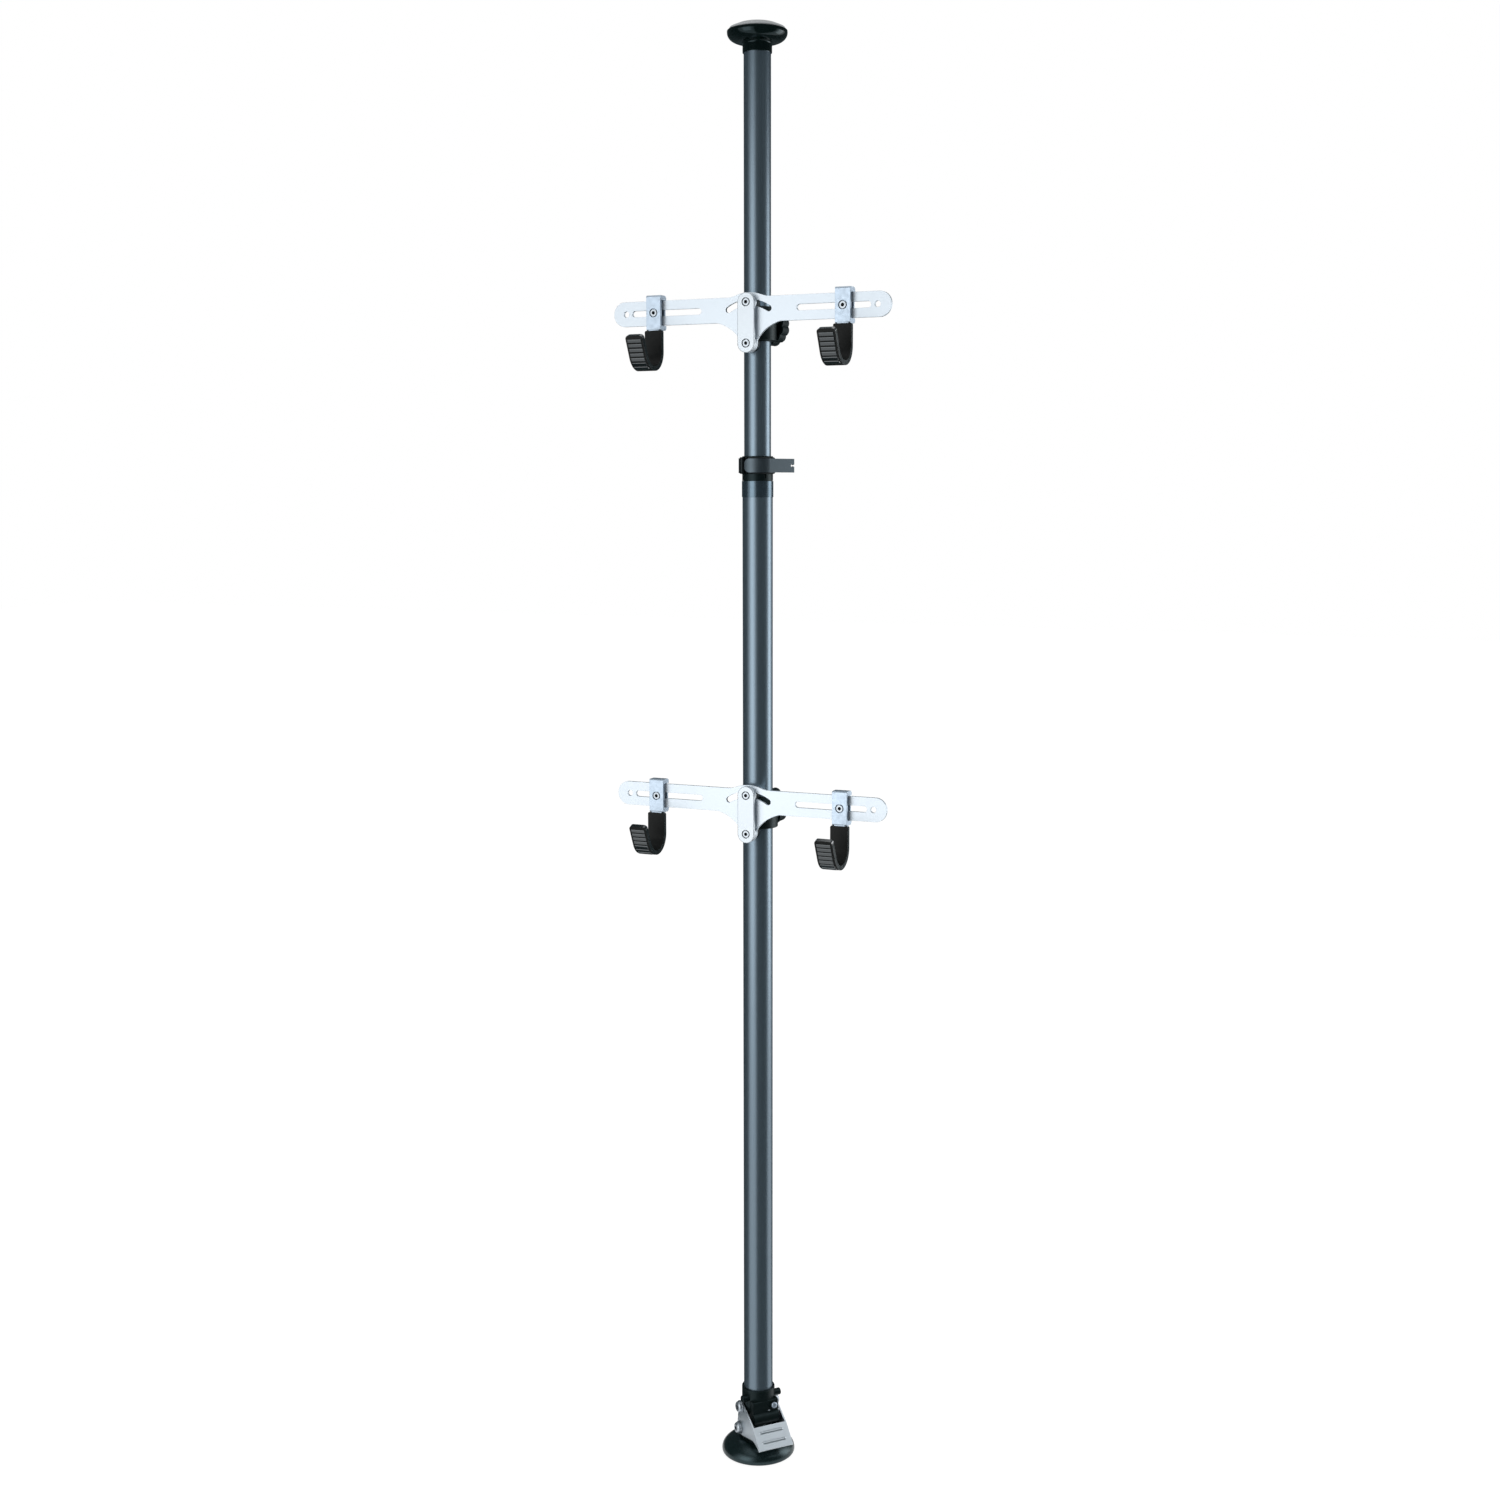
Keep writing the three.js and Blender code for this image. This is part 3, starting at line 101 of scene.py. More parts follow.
def roundCorner(piece, spot, radius, steps):
    bpy.ops.mesh.select_all(action="DESELECT")
    shape = bmesh.from_edit_mesh(piece.data)
    for vertex in shape.verts:
        vertex.select = (vertex.co / mm - spot).length < joinDistance / mm
    shape.select_flush_mode()
    bmesh.update_edit_mesh(piece.data)
    bpy.ops.mesh.bevel(offset=radius * mm, segments=steps, affect="VERTICES")


def closeUp():
    bpy.ops.mesh.select_all(action="SELECT")
    bpy.ops.mesh.remove_doubles(threshold=joinDistance)
    bpy.ops.mesh.normals_make_consistent(inside=False)
    bpy.ops.object.mode_set(mode="OBJECT")


# A line through its corners, left in edit mode with all selected. A corner's third number is how
# far back its rounding begins.
def drawLine(name, corners, across, up, start, closed):
    spots = [(across * corner[0] + up * corner[1] + start) * mm for corner in corners]
    deselectAll()
    bpy.ops.mesh.primitive_plane_add(size=mm, location=spots[0])
    piece = bpy.context.object
    piece.name = piece.data.name = name
    bpy.ops.object.transform_apply(location=True, rotation=False, scale=False)
    bpy.ops.object.mode_set(mode="EDIT")
    bpy.ops.mesh.merge(type="CENTER")
    onward = spots[1:] + (spots[:1] if closed else [])
    for here, there in zip(spots, onward):
        bpy.ops.mesh.extrude_region_move(TRANSFORM_OT_translate={"value": there - here})
    bpy.ops.mesh.select_all(action="SELECT")
    bpy.ops.mesh.remove_doubles(threshold=joinDistance)
    for corner, spot in zip(corners, spots):
        if len(corner) > 2:
            steps = rounding["steps"] if corner[2] < rounding["largeFrom"] else rounding["largeSteps"]
            roundCorner(piece, spot / mm, corner[2], steps)
    bpy.ops.mesh.select_all(action="SELECT")
    return piece


def turnPiece(name, profile, spindle="up", centre=(0, 0, 0), sides=128):
    out, along = spindles[spindle]
    middle = Vector(centre)
    drawLine(name, profile, out, along, middle, all(corner[0] > 0 for corner in profile))
    bpy.ops.mesh.spin(steps=sides, angle=2 * math.pi, center=middle * mm, axis=along)
    closeUp()
    return bpy.context.object


def rod(radius, low, high, edge=0):
    corner = (edge,) if edge else ()
    return [(0, low), (radius, low, *corner), (radius, high, *corner), (0, high)]


def oblong(left, right, low, high, edge=0):
    corner = (edge,) if edge else ()
    return [(left, low, *corner), (right, low, *corner), (right, high, *corner), (left, high, *corner)]


def drill(radius, low, high, spindle="forward", centre=(0, 0, 0), sides=48):
    return turnPiece("drill", rod(radius, low, high), spindle, centre, sides)


def prism(name, page, corners, low, high):
    across, up, out = pages[page]
    drawLine(name, corners, across, up, out * low, True)
    bpy.ops.mesh.edge_face_add()
    bpy.ops.mesh.extrude_region_move(TRANSFORM_OT_translate={"value": out * (high - low) * mm})
    closeUp()
    return bpy.context.object


# A bent sheet: a line drawn out into a strip, then given its thickness. Where it has two looks, the
# first is its rim's and the second its faces'.
def bentSheet(name, page, path, low, high, thickness, endRounding=(0, 0), looks=()):
    across, up, out = pages[page]
    piece = drawLine(name, path, across, up, out * low, False)
    bpy.ops.mesh.extrude_region_move(TRANSFORM_OT_translate={"value": out * (high - low) * mm})
    for end, radius in zip((path[0], path[-1]), endRounding):
        if radius:
            for side in (low, high):
                roundCorner(piece, across * end[0] + up * end[1] + out * side, radius, rounding["steps"])
    if looks:
        for look in looks:
            piece.data.materials.append(finishes[look])
        piece.active_material_index = 1
        bpy.ops.mesh.select_all(action="SELECT")
        bpy.ops.object.material_slot_assign()
    bpy.ops.object.mode_set(mode="OBJECT")
    useModifier(piece, "SOLIDIFY", thickness=thickness * mm, offset=0, use_even_offset=True,
                material_offset_rim=-1 if looks else 0)
    bpy.ops.object.mode_set(mode="EDIT")
    closeUp()
    return piece


def useModifier(piece, kind, **settings):
    pick(piece)
    bpy.ops.object.modifier_add(type=kind)
    modifier = piece.modifiers[-1]
    for setting, value in settings.items():
        setattr(modifier, setting, value)
    bpy.ops.object.modifier_apply(modifier=modifier.name)


def combine(piece, others, way):
    for other in others:
        useModifier(piece, "BOOLEAN", operation=way, object=other, solver="EXACT")
        bpy.data.objects.remove(other)
    return piece


def weld(piece, *others):
    return combine(piece, others, "UNION")


def cutAway(piece, *others):
    return combine(piece, others, "DIFFERENCE")


def softenEdges(piece, width, segments=2, angle=35, edgeMaterial=-1):
    pick(piece)
    bpy.ops.object.mode_set(mode="EDIT")
    bpy.ops.mesh.select_all(action="SELECT")
    bpy.ops.mesh.remove_doubles(threshold=joinDistance)
    bpy.ops.mesh.dissolve_limited(angle_limit=math.radians(0.5))
    bpy.ops.mesh.dissolve_degenerate(threshold=joinDistance)
    bpy.ops.object.mode_set(mode="OBJECT")
    bpy.ops.object.shade_smooth_by_angle(angle=math.radians(angle))
    if width:
        useModifier(piece, "BEVEL", width=width * mm, segments=segments, limit_method="ANGLE",
                    angle_limit=math.radians(angle), miter_outer="MITER_ARC", material=edgeMaterial)
    useModifier(piece, "WEIGHTED_NORMAL", keep_sharp=True, weight=90)
    return piece


def place(piece, shift=(0, 0, 0), turn=0):
    pick(piece)
    piece.rotation_euler.z = math.radians(turn)
    piece.location = Vector(shift) * mm
    bpy.ops.object.transform_apply(location=True, rotation=True, scale=True)
    return piece


def copyOf(piece, name, shift=(0, 0, 0), mirrored=False):
    pick(piece)
    bpy.ops.object.duplicate()
    copy = bpy.context.object
    copy.name = copy.data.name = name
    copy.scale.x = -1 if mirrored else 1
    place(copy, shift)
    if mirrored:
        bpy.ops.object.mode_set(mode="EDIT")
        closeUp()
        useModifier(copy, "WEIGHTED_NORMAL", keep_sharp=True)
    return copy


def fit(piece, body, look, node=None):
    if not piece.data.materials:  # a bar and a hook's cover bring their own
        piece.data.materials.append(finishes[look])
    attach(piece, body)
    if node:
        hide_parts(node)


# Rounds a piece's edges, turns it round the pole to its azimuth and fits it to its body
def complete(piece, body, look, node=None, edge=0, azimuth=0, segments=2, angle=35):
    softenEdges(piece, edge, segments, angle)
    if azimuth:
        place(piece, turn=azimuth)
    fit(piece, body, look, node)


def joinWords(first, *others):  # lower, left and hookBolt give lowerLeftHookBolt
    return first + "".join(word[0].upper() + word[1:] for word in others)


# Shapes of lines
def polar(radius, degrees):  # 0 degrees is straight forward, and the angle grows to the right
    turn = math.radians(degrees)
    return radius * math.sin(turn), -radius * math.cos(turn)


def spread(start, end, steps):
    return [start + (end - start) * i / steps for i in range(steps + 1)]


def sector(inner, outer, start, end, steps):
    turns = spread(start, end, steps)
    return [polar(inner, turn) for turn in turns] + [polar(outer, turn) for turn in reversed(turns)]


def arc(centreX, centreY, radius, start, end, steps):
    turns = [math.radians(turn) for turn in spread(start, end, steps)]
    return [(centreX + radius * math.cos(turn), centreY + radius * math.sin(turn)) for turn in turns]


def bezier(a, b, c, d, steps):
    line = []
    for t in spread(0, 1, steps):
        shares = ((1 - t) ** 3, 3 * (1 - t) ** 2 * t, 3 * (1 - t) * t * t, t ** 3)
        weighted = list(zip(shares, (a, b, c, d)))
        line.append(tuple(sum(share * point[k] for share, point in weighted) for k in (0, 1)))
    return line


def strip(path, half, steps=10):  # the outline of a line with width and round ends
    points = [Vector(point) for point in path]
    sides = []
    for i, point in enumerate(points):
        along = (points[min(i + 1, len(points) - 1)] - points[max(i - 1, 0)]).normalized()
        sides.append((point, along * half, Vector((-along.y, along.x)) * half))
    def cap(side, sign):
        point, along, across = side
        turns = [math.pi * i / steps for i in range(1, steps)]
        return [point + sign * (across * math.cos(turn) + along * math.sin(turn)) for turn in turns]
    left = [point + across for point, along, across in sides]
    right = [point - across for point, along, across in reversed(sides)]
    return [tuple(point) for point in left + cap(sides[-1], 1) + right + cap(sides[0], -1)]


def hexagon(acrossFlats):
    return [polar(acrossFlats / math.sqrt(3), 60 * i) for i in range(6)]


# Materials. Patterns read Object coordinates, in metres, and their sizes are real ones.
def linear(hexColour):
    parts = [int(hexColour[i:i + 2], 16) / 255 for i in (1, 3, 5)]
    return [part / 12.92 if part <= 0.04045 else ((part + 0.055) / 1.055) ** 2.4 for part in parts] + [1]


def addNode(tree, kind, settings=None, links=None):
    node = tree.nodes.new(kind)
    for key, value in (settings or {}).items():
        if isinstance(key, str) and hasattr(node, key):
            setattr(node, key, value)
        else:
            node.inputs[key].default_value = value
    for key, socket in (links or {}).items():
        tree.links.new(socket, node.inputs[key])
    return node


def startMaterial(name, hexColour, metallic, roughness, **others):
    material = bpy.data.materials.new(name)
    material.use_nodes = True
    shader = material.node_tree.nodes["Principled BSDF"]
    settings = {"Base Color": linear(hexColour), "Metallic": metallic, "Roughness": roughness, **others}
    for key, value in settings.items():
        shader.inputs[key].default_value = value
    return material


# A noise whose blotches have this size in millimetres, or one size each along x, y and z. A turn is
# about the pole, in degrees.
def grain(material, size, detail=2, turn=0):
    tree = material.node_tree
    where = addNode(tree, "ShaderNodeTexCoord").outputs["Object"]
    if turn:
        where = addNode(tree, "ShaderNodeMapping", {"Rotation": (0, 0, math.radians(turn))},
                        {"Vector": where}).outputs["Vector"]
    sizes = size if isinstance(size, tuple) else (size, size, size)
    stretch = addNode(tree, "ShaderNodeMapping", {"Scale": [1 / (side * mm) for side in sizes]},
                      {"Vector": where})
    return addNode(tree, "ShaderNodeTexNoise", {"Scale": 1, "Detail": detail},
                   {"Vector": stretch.outputs["Vector"]}).outputs["Fac"]


# Lets a pattern drive the colour, between two hex values, the roughness, between a low and a high
# one, and the relief, by its depth in millimetres and its strength
def showPattern(material, pattern, hexes=None, roughness=None, relief=None):
    tree = material.node_tree
    shader = tree.nodes["Principled BSDF"]
    if hexes:
        ends = {"data_type": "RGBA", 6: linear(hexes[0]), 7: linear(hexes[1])}
        blend = addNode(tree, "ShaderNodeMix", ends, {0: pattern})
        tree.links.new(blend.outputs[2], shader.inputs["Base Color"])
    if roughness:
        ends = {"From Min": 0.3, "From Max": 0.7, "To Min": roughness[0], "To Max": roughness[1]}
        level = addNode(tree, "ShaderNodeMapRange", ends, {"Value": pattern})
        tree.links.new(level.outputs["Result"], shader.inputs["Roughness"])
    if relief:
        ends = {"Distance": relief[0] * mm, "Strength": relief[1]}
        bump = addNode(tree, "ShaderNodeBump", ends, {"Height": pattern})
        tree.links.new(bump.outputs["Normal"], shader.inputs["Normal"])
    return material


def anodisedAluminium():  # drawn tube, anodised dark: fine lines run up the tube
    material = startMaterial("anodisedAluminium", "#73838f", 0.84, 0.32)
    lines = grain(material, (0.9, 0.9, 260), 3)
    return showPattern(material, lines, ("#6e7d89", "#788995"), (0.28, 0.36), (0.02, 0.25))


# Rolled plate, bead blasted and clear anodised: even and very light
def satinAluminium(name, darkHex, lightHex):
    material = startMaterial(name, lightHex, 0.8, 0.52)
    return showPattern(material, grain(material, 0.8), (darkHex, lightHex), (0.46, 0.54), (0.03, 0.12))


def tumbledEdge():  # the plate's sheared edges, rounded in the tumbler, painted darker than its faces: painted shade along its outline
    material = startMaterial("tumbledEdge", "#67757f", 0.85, 0.5)
    return showPattern(material, grain(material, 1.5), ("#5f6d77", "#6f7d87"))


def castAluminium():  # die cast and tumbled: faintly clouded, a little bluer
    material = startMaterial("castAluminium", "#b8c7d6", 0.9, 0.48)
    showPattern(material, grain(material, 6, 5), ("#b2c1d1", "#becddb"), (0.4, 0.52))
    return showPattern(material, grain(material, 0.7), relief=(0.04, 0.35))


def brushedSteel():  # stainless sheet, brushed across the tread before it was bent
    material = startMaterial("brushedSteel", "#c8d1d8", 1, 0.42)
    lines = grain(material, (50, 1 / 1.4, 1 / 1.4), 3, turn=-50)
    return showPattern(material, lines, ("#bec8d0", "#d2dae0"), (0.36, 0.5), (0.03, 0.3))


def boltSteel():  # machined and zinc plated: bright, with painted shade in the sockets and where parts sit close
    material = startMaterial("zincPlatedSteel", "#b4bcc3", 0.9, 0.38)
    tree = material.node_tree
    openness = addNode(tree, "ShaderNodeAmbientOcclusion", {"Distance": 5.5 * mm, "samples": 8})
    unshadedShare = addNode(tree, "ShaderNodeMapRange", {"From Min": 0.35, "From Max": 0.8},
                    {"Value": openness.outputs["AO"]})
    # 15191b is painted shade: ambient occlusion darkens the colour in the sockets and where parts sit close
    showPattern(material, unshadedShare.outputs["Result"], ("#15191b", "#b4bcc3"))
    return showPattern(material, grain(material, 2, 3), roughness=(0.34, 0.44))


def darkAluminium():  # anodised dark after brushing round the clamp
    material = startMaterial("darkAluminium", "#525d64", 0.85, 0.42)
    lines = grain(material, (22, 22, 0.7), 3)
    return showPattern(material, lines, ("#4b565d", "#5b666d"), (0.36, 0.48), (0.02, 0.3))


def blackAluminium():  # bead blasted and anodised black
    material = startMaterial("blackAluminium", "#1a2123", 0.7, 0.42)
    return showPattern(material, grain(material, 0.8), roughness=(0.36, 0.5))


def mouldedPlastic(name, smooth, rough):  # glass-filled nylon from a mould, grained or polished
    material = startMaterial(name, "#07100f", 0, rough,
                             **{"Specular IOR Level": 0.4, "Specular Tint": linear("#b4d2dc")})
    return showPattern(material, grain(material, 0.7), ("#050d0c", "#0a1413"), (smooth, rough), (0.05, 0.35))


def glossFilm():  # a black metallised film wrapped round the tube, here bare: dark with bright streaks
    material = startMaterial("glossFilm", "#5b6c78", 0.88, 0.24)
    return showPattern(material, grain(material, (14, 14, 9), 1), roughness=(0.2, 0.28))


def dippedVinyl():  # soft PVC, dipped: glossy with long soft waves
    material = startMaterial("dippedVinyl", "#030806", 0, 0.15,
                             **{"Coat Weight": 1.0, "Coat Roughness": 0.1, "Coat IOR": 1.65,
                                "Specular Tint": linear("#b8d0e0")})
    return showPattern(material, grain(material, 11), roughness=(0.1, 0.22), relief=(0.5, 0.2))


def pimpledVinyl():  # the same PVC on the hooks' faces, matt and finely pimpled between the glossy ribs
    material = startMaterial("pimpledVinyl", "#040807", 0, 0.6, **{"Specular IOR Level": 0.3})
    return showPattern(material, grain(material, 1.2, 1), roughness=(0.55, 0.68), relief=(0.12, 0.5))


def footRubber():  # moulded rubber with a satin skin
    material = startMaterial("mouldedRubber", "#0a1716", 0, 0.36,
                             **{"Specular IOR Level": 0.85, "Specular Tint": linear("#b4d2dc")})
    return showPattern(material, grain(material, 1.1, 3), ("#071413", "#0d1a1a"), (0.24, 0.34), (0.06, 0.3))


def padRubber():  # pale grey non-marking rubber, matt and faintly mottled
    material = startMaterial("paleRubber", "#b6babc", 0, 0.7)
    showPattern(material, grain(material, 3, 4), ("#adb1b3", "#bfc3c5"))
    return showPattern(material, grain(material, 0.8), relief=(0.06, 0.4))


def naturalNylon():  # unfilled nylon, pale
    material = startMaterial("naturalNylon", "#dedcd2", 0, 0.45)
    return showPattern(material, grain(material, 4, 3), ("#d6d4c9", "#e5e3da"))


finishes = {
    "anodised": anodisedAluminium(), "satin": satinAluminium("satinPlate", "#d3dce4", "#dde6ee"),
    # the link's plate is a slightly darker copy of the bar's satin plate: painted shade on the link
    "bright": satinAluminium("brightPlate", "#d0d8df", "#dae2e8"), "cast": castAluminium(),
    "edge": tumbledEdge(), "steel": brushedSteel(), "bolt": boltSteel(), "dark": darkAluminium(),
    "black": blackAluminium(), "moulded": mouldedPlastic("grainedNylon", 0.34, 0.48),
    "polished": mouldedPlastic("polishedNylon", 0.1, 0.17), "film": glossFilm(), "dipped": dippedVinyl(),
    "pimpled": pimpledVinyl(), "foot": footRubber(), "pad": padRubber(), "nylon": naturalNylon(),
}
addPhotoCamera(photoCamera)
print("camera and materials ready")


# The two tubes
tubes = {
    "lower": {"radius": 25, "wall": 1.5, "bottom": 101.3, "top": 1687.5, "edge": 0.3, "body": "tower"},
    "upper": {"radius": 22, "wall": 1.8, "bottom": 800.3, "top": 2388.7, "edge": 0.3, "body": "upper_pole"},
}


def addTubes():
    for name, tube in tubes.items():
        profile = oblong(tube["radius"] - tube["wall"], tube["radius"], tube["bottom"], tube["top"])
        complete(turnPiece(name + "Tube", profile), tube["body"], "anodised", name + "_tube",
                 edge=tube["edge"])


# The cap, a bowl on a short neck, and the pad on the ceiling
ceilingTop = {
    "ceiling": 2411, "padThickness": 11, "padRadius": 45, "padFlat": 26, "padRim": 3.2, "padBottomEdge": 1,
    "padRimEdge": 1.5, "padShoulder": 7, "rimRadius": 48.5, "rimHeight": 4, "rimEdge": 1.8,
    "bowlHeight": 15.2, "bowlPull": 8, "fillet": 4, "filletEdge": 3, "neckHeight": 15.8, "neckWall": 1.4,
    "neckEdge": 0.5, "socketDepth": 24,
}


def addCeilingTop():
    top = ceilingTop
    ceiling = top["ceiling"]
    socket = tubes["upper"]["radius"] + gap
    neck = socket + top["neckWall"]
    capTop = ceiling - top["padThickness"] - gap
    rim, rimBottom = top["rimRadius"], capTop - top["rimHeight"]
    bowlBottom = rimBottom - top["bowlHeight"]
    bottom = bowlBottom - top["neckHeight"]
    roof = bottom + top["socketDepth"] + gap
    bowl = bezier((neck + top["fillet"], bowlBottom), (rim - top["bowlPull"], bowlBottom),
                  (rim, rimBottom - top["bowlPull"]), (rim, rimBottom), 20)
    profile = [(0, roof), (socket, roof), (socket, bottom), (neck, bottom, top["neckEdge"]),
               (neck, bowlBottom, top["filletEdge"]), *bowl, (rim, capTop, top["rimEdge"]), (0, capTop)]
    complete(turnPiece("topCap", profile), "upper_pole", "polished", "top_cap", angle=40)

    padBottom = capTop + gap
    profile = [(0, padBottom), (top["padRadius"], padBottom, top["padBottomEdge"]),
               (top["padRadius"], padBottom + top["padRim"], top["padRimEdge"]),
               (top["padFlat"], ceiling, top["padShoulder"]), (0, ceiling)]
    complete(turnPiece("ceilingPad", profile), "upper_pole", "pad", "ceiling_pad", angle=40)


# The height clamp: slit sleeve, bare band, split clamp and quick lever
heightClamp = {
    "azimuth": 24,
    "sleeve": {"bottom": 1687.8, "top": 1727.8, "radius": 25.3, "plug": 37, "rim": 0.8, "edge": 0.25},
    "slit": {"azimuth": 54, "width": 2, "from": 1692.8},
    "label": {"height": 26.2, "thickness": 0.6, "edge": 0.2},
    "band": {"bottom": 1699, "top": 1726, "wall": 3, "edge": 1.5, "splitAt": -36, "splitWidth": 3},
    "lug": {"thickness": 2.6, "from": -118, "to": -63, "sunk": 1},
    "pin": {"angle": -50, "reach": 32.8, "radius": 1.6, "edge": 0.3},
    "ear": {"thickness": 2, "sunk": 1.5, "rootTurn": 6.5},
    "lever": {"thickness": 3, "barrel": 3.7, "barrelEdge": 0.8, "barrelSunk": 0.5, "leave": 40, "tail": 52,
              "play": 0.5, "lap": 4, "cornerTurn": 3, "holeRadius": 2.4, "holeInset": 5, "notch": 3.2},
}


def addHeightClamp():
    sleeve, slit, label = heightClamp["sleeve"], heightClamp["slit"], heightClamp["label"]
    lower = tubes["lower"]
    bore = tubes["upper"]["radius"] + gap
    plug = lower["radius"] - lower["wall"] - gap
    low, high, radius = sleeve["bottom"], sleeve["top"], sleeve["radius"]
    profile = [(bore, low - sleeve["plug"]), (plug, low - sleeve["plug"]), (plug, low), (radius, low),
               (radius, high, sleeve["rim"]), (bore, high)]
    reach = radius + overrun
    half = slit["width"] / 2
    cutter = prism("slit", "top", oblong(-half, half, -reach, reach), slit["from"], high + overrun)
    place(cutter, turn=slit["azimuth"])
    complete(cutAway(turnPiece("lockSleeve", profile), cutter), "tower", "moulded",
             "lock_sleeve", edge=sleeve["edge"])

    inner = lower["radius"] + gap
    profile = oblong(inner, inner + label["thickness"], lower["top"] - label["height"], lower["top"])
    complete(turnPiece("labelBand", profile), "tower", "film", "label_band",
             edge=label["edge"])


def addClampBand():
    band, lug, pin, ear = (heightClamp[name] for name in ("band", "lug", "pin", "ear"))
    azimuth = heightClamp["azimuth"]
    inner = heightClamp["sleeve"]["radius"] + gap
    outer = inner + band["wall"]
    bottom, top, edge = band["bottom"], band["top"], band["edge"]
    low, high = bottom - overrun, top + overrun
    profile = [(inner, bottom), (outer - edge, bottom), (outer, bottom + edge), (outer, top - edge),
               (outer - edge, top), (inner, top)]
    piece = turnPiece("clampBand", profile)
    outline = sector(inner + lug["sunk"], outer + lug["thickness"], lug["from"], lug["to"], 20)
    lugBlock = prism("lug", "top", outline, bottom + edge, top - edge)
    pinSpot = polar(pin["reach"], pin["angle"])
    root = polar(outer - ear["sunk"], pin["angle"] - ear["rootTurn"])
    outline = strip([root, pinSpot], heightClamp["lever"]["barrel"])
    ears = [prism("ear", "top", outline, start, start + ear["thickness"])
            for start in (bottom, top - ear["thickness"])]
    weld(piece, lugBlock, *ears)
    half = band["splitWidth"] / 2
    split = prism("split", "top", oblong(-half, half, -outer - overrun, -inner / 2), low, high)
    cutAway(piece, drill(inner, low, high, "up", sides=128), place(split, turn=band["splitAt"]),
            place(drill(pin["radius"] + gap, low, high, "up", sides=24), (*pinSpot, 0)))
    complete(piece, "tower", "black", "clamp_band", edge=0.4, azimuth=azimuth)

    pivot = turnPiece("leverPin", rod(pin["radius"], bottom, top, pin["edge"]), sides=24)
    complete(place(pivot, (*pinSpot, 0)), "tower", "bolt", "lever_pin", azimuth=azimuth)


def addQuickLever():
    lever, pin, band = heightClamp["lever"], heightClamp["pin"], heightClamp["band"]
    azimuth = heightClamp["azimuth"]
    thickness = lever["thickness"]
    low = band["bottom"] + heightClamp["ear"]["thickness"] + gap
    high = band["top"] - heightClamp["ear"]["thickness"] - gap
    centre, roundEnd = (low + high) / 2, (high - low) / 2
    cutLow, cutHigh = low - overrun, high + overrun
    pinSpot = (*polar(pin["reach"], pin["angle"]), 0)
    middle = heightClamp["sleeve"]["radius"] + gap + band["wall"] + lever["play"] + thickness / 2
    first = pin["angle"] + lever["lap"]  # the strap's round end meets the barrel at mid height
    wrap = [polar(middle, turn) for turn in spread(first, lever["leave"], 40)]
    leave = math.radians(lever["leave"])
    leaveX, leaveY = wrap[-1]
    tip = (leaveX + lever["tail"] * math.cos(leave), leaveY + lever["tail"] * math.sin(leave))
    strap = bentSheet("quickLever", "top", wrap + [tip], low, high, thickness)
    inside, outside = middle - thickness, middle + thickness
    roundAt = first + math.degrees(roundEnd / middle)
    start = first - lever["cornerTurn"]
    corners = prism("corners", "top", sector(inside, outside, start, roundAt, 12), cutLow, cutHigh)
    kept = drill(roundEnd, inside - overrun, outside + overrun, "forward", (0, 0, centre), 64)
    cutAway(strap, cutAway(corners, place(kept, turn=roundAt)))
    along, half = lever["tail"] - lever["holeInset"], lever["notch"]
    reach, past = thickness + overrun, lever["tail"] + overrun
    eye = drill(lever["holeRadius"], -reach, reach, "forward", (along, 0, centre), 32)
    outline = [(along, centre), (past, centre - half), (past, centre + half)]
    notch = prism("notch", "front", outline, -reach, reach)
    for cutter in (eye, notch):
        place(cutter, (leaveX, leaveY, 0), lever["leave"])
    barrelRoom = place(drill(lever["barrel"] - lever["barrelSunk"], cutLow, cutHigh, "up"), pinSpot)
    cutAway(strap, barrelRoom, eye, notch)
    complete(strap, "quick_lever", "dark", "quick_lever", edge=0.5, azimuth=azimuth)
    barrel = turnPiece("barrel", rod(lever["barrel"], low, high, lever["barrelEdge"]), sides=48)
    place(barrel, pinSpot)
    cutAway(barrel, place(drill(pin["radius"] + gap, cutLow, cutHigh, "up", sides=24), pinSpot))
    complete(barrel, "quick_lever", "black", edge=0.3, azimuth=azimuth)


# The foot: rubber pad, yoke with cam cheeks, and guide stem
foot = {
    "azimuth": 50, "sole": 60, "radius": 63.5, "rim": 4, "rimPull": 1.2, "height": 27, "shoulder": 34,
    "socketEdge": 1, "socketDepth": 10, "bulgeShares": (0.6, 0.86), "yokeTop": 36, "yokeRadius": 29.3,
    "cheek": {"inner": 24.3, "outer": 29.3, "back": 21, "front": 33, "foot": 33, "top": 53, "corner": 5},
    "slotPlay": 0.5, "stem": {"radius": 23.2, "wall": 3, "bottom": 25.6, "top": 260}, "edge": 0.5,
}


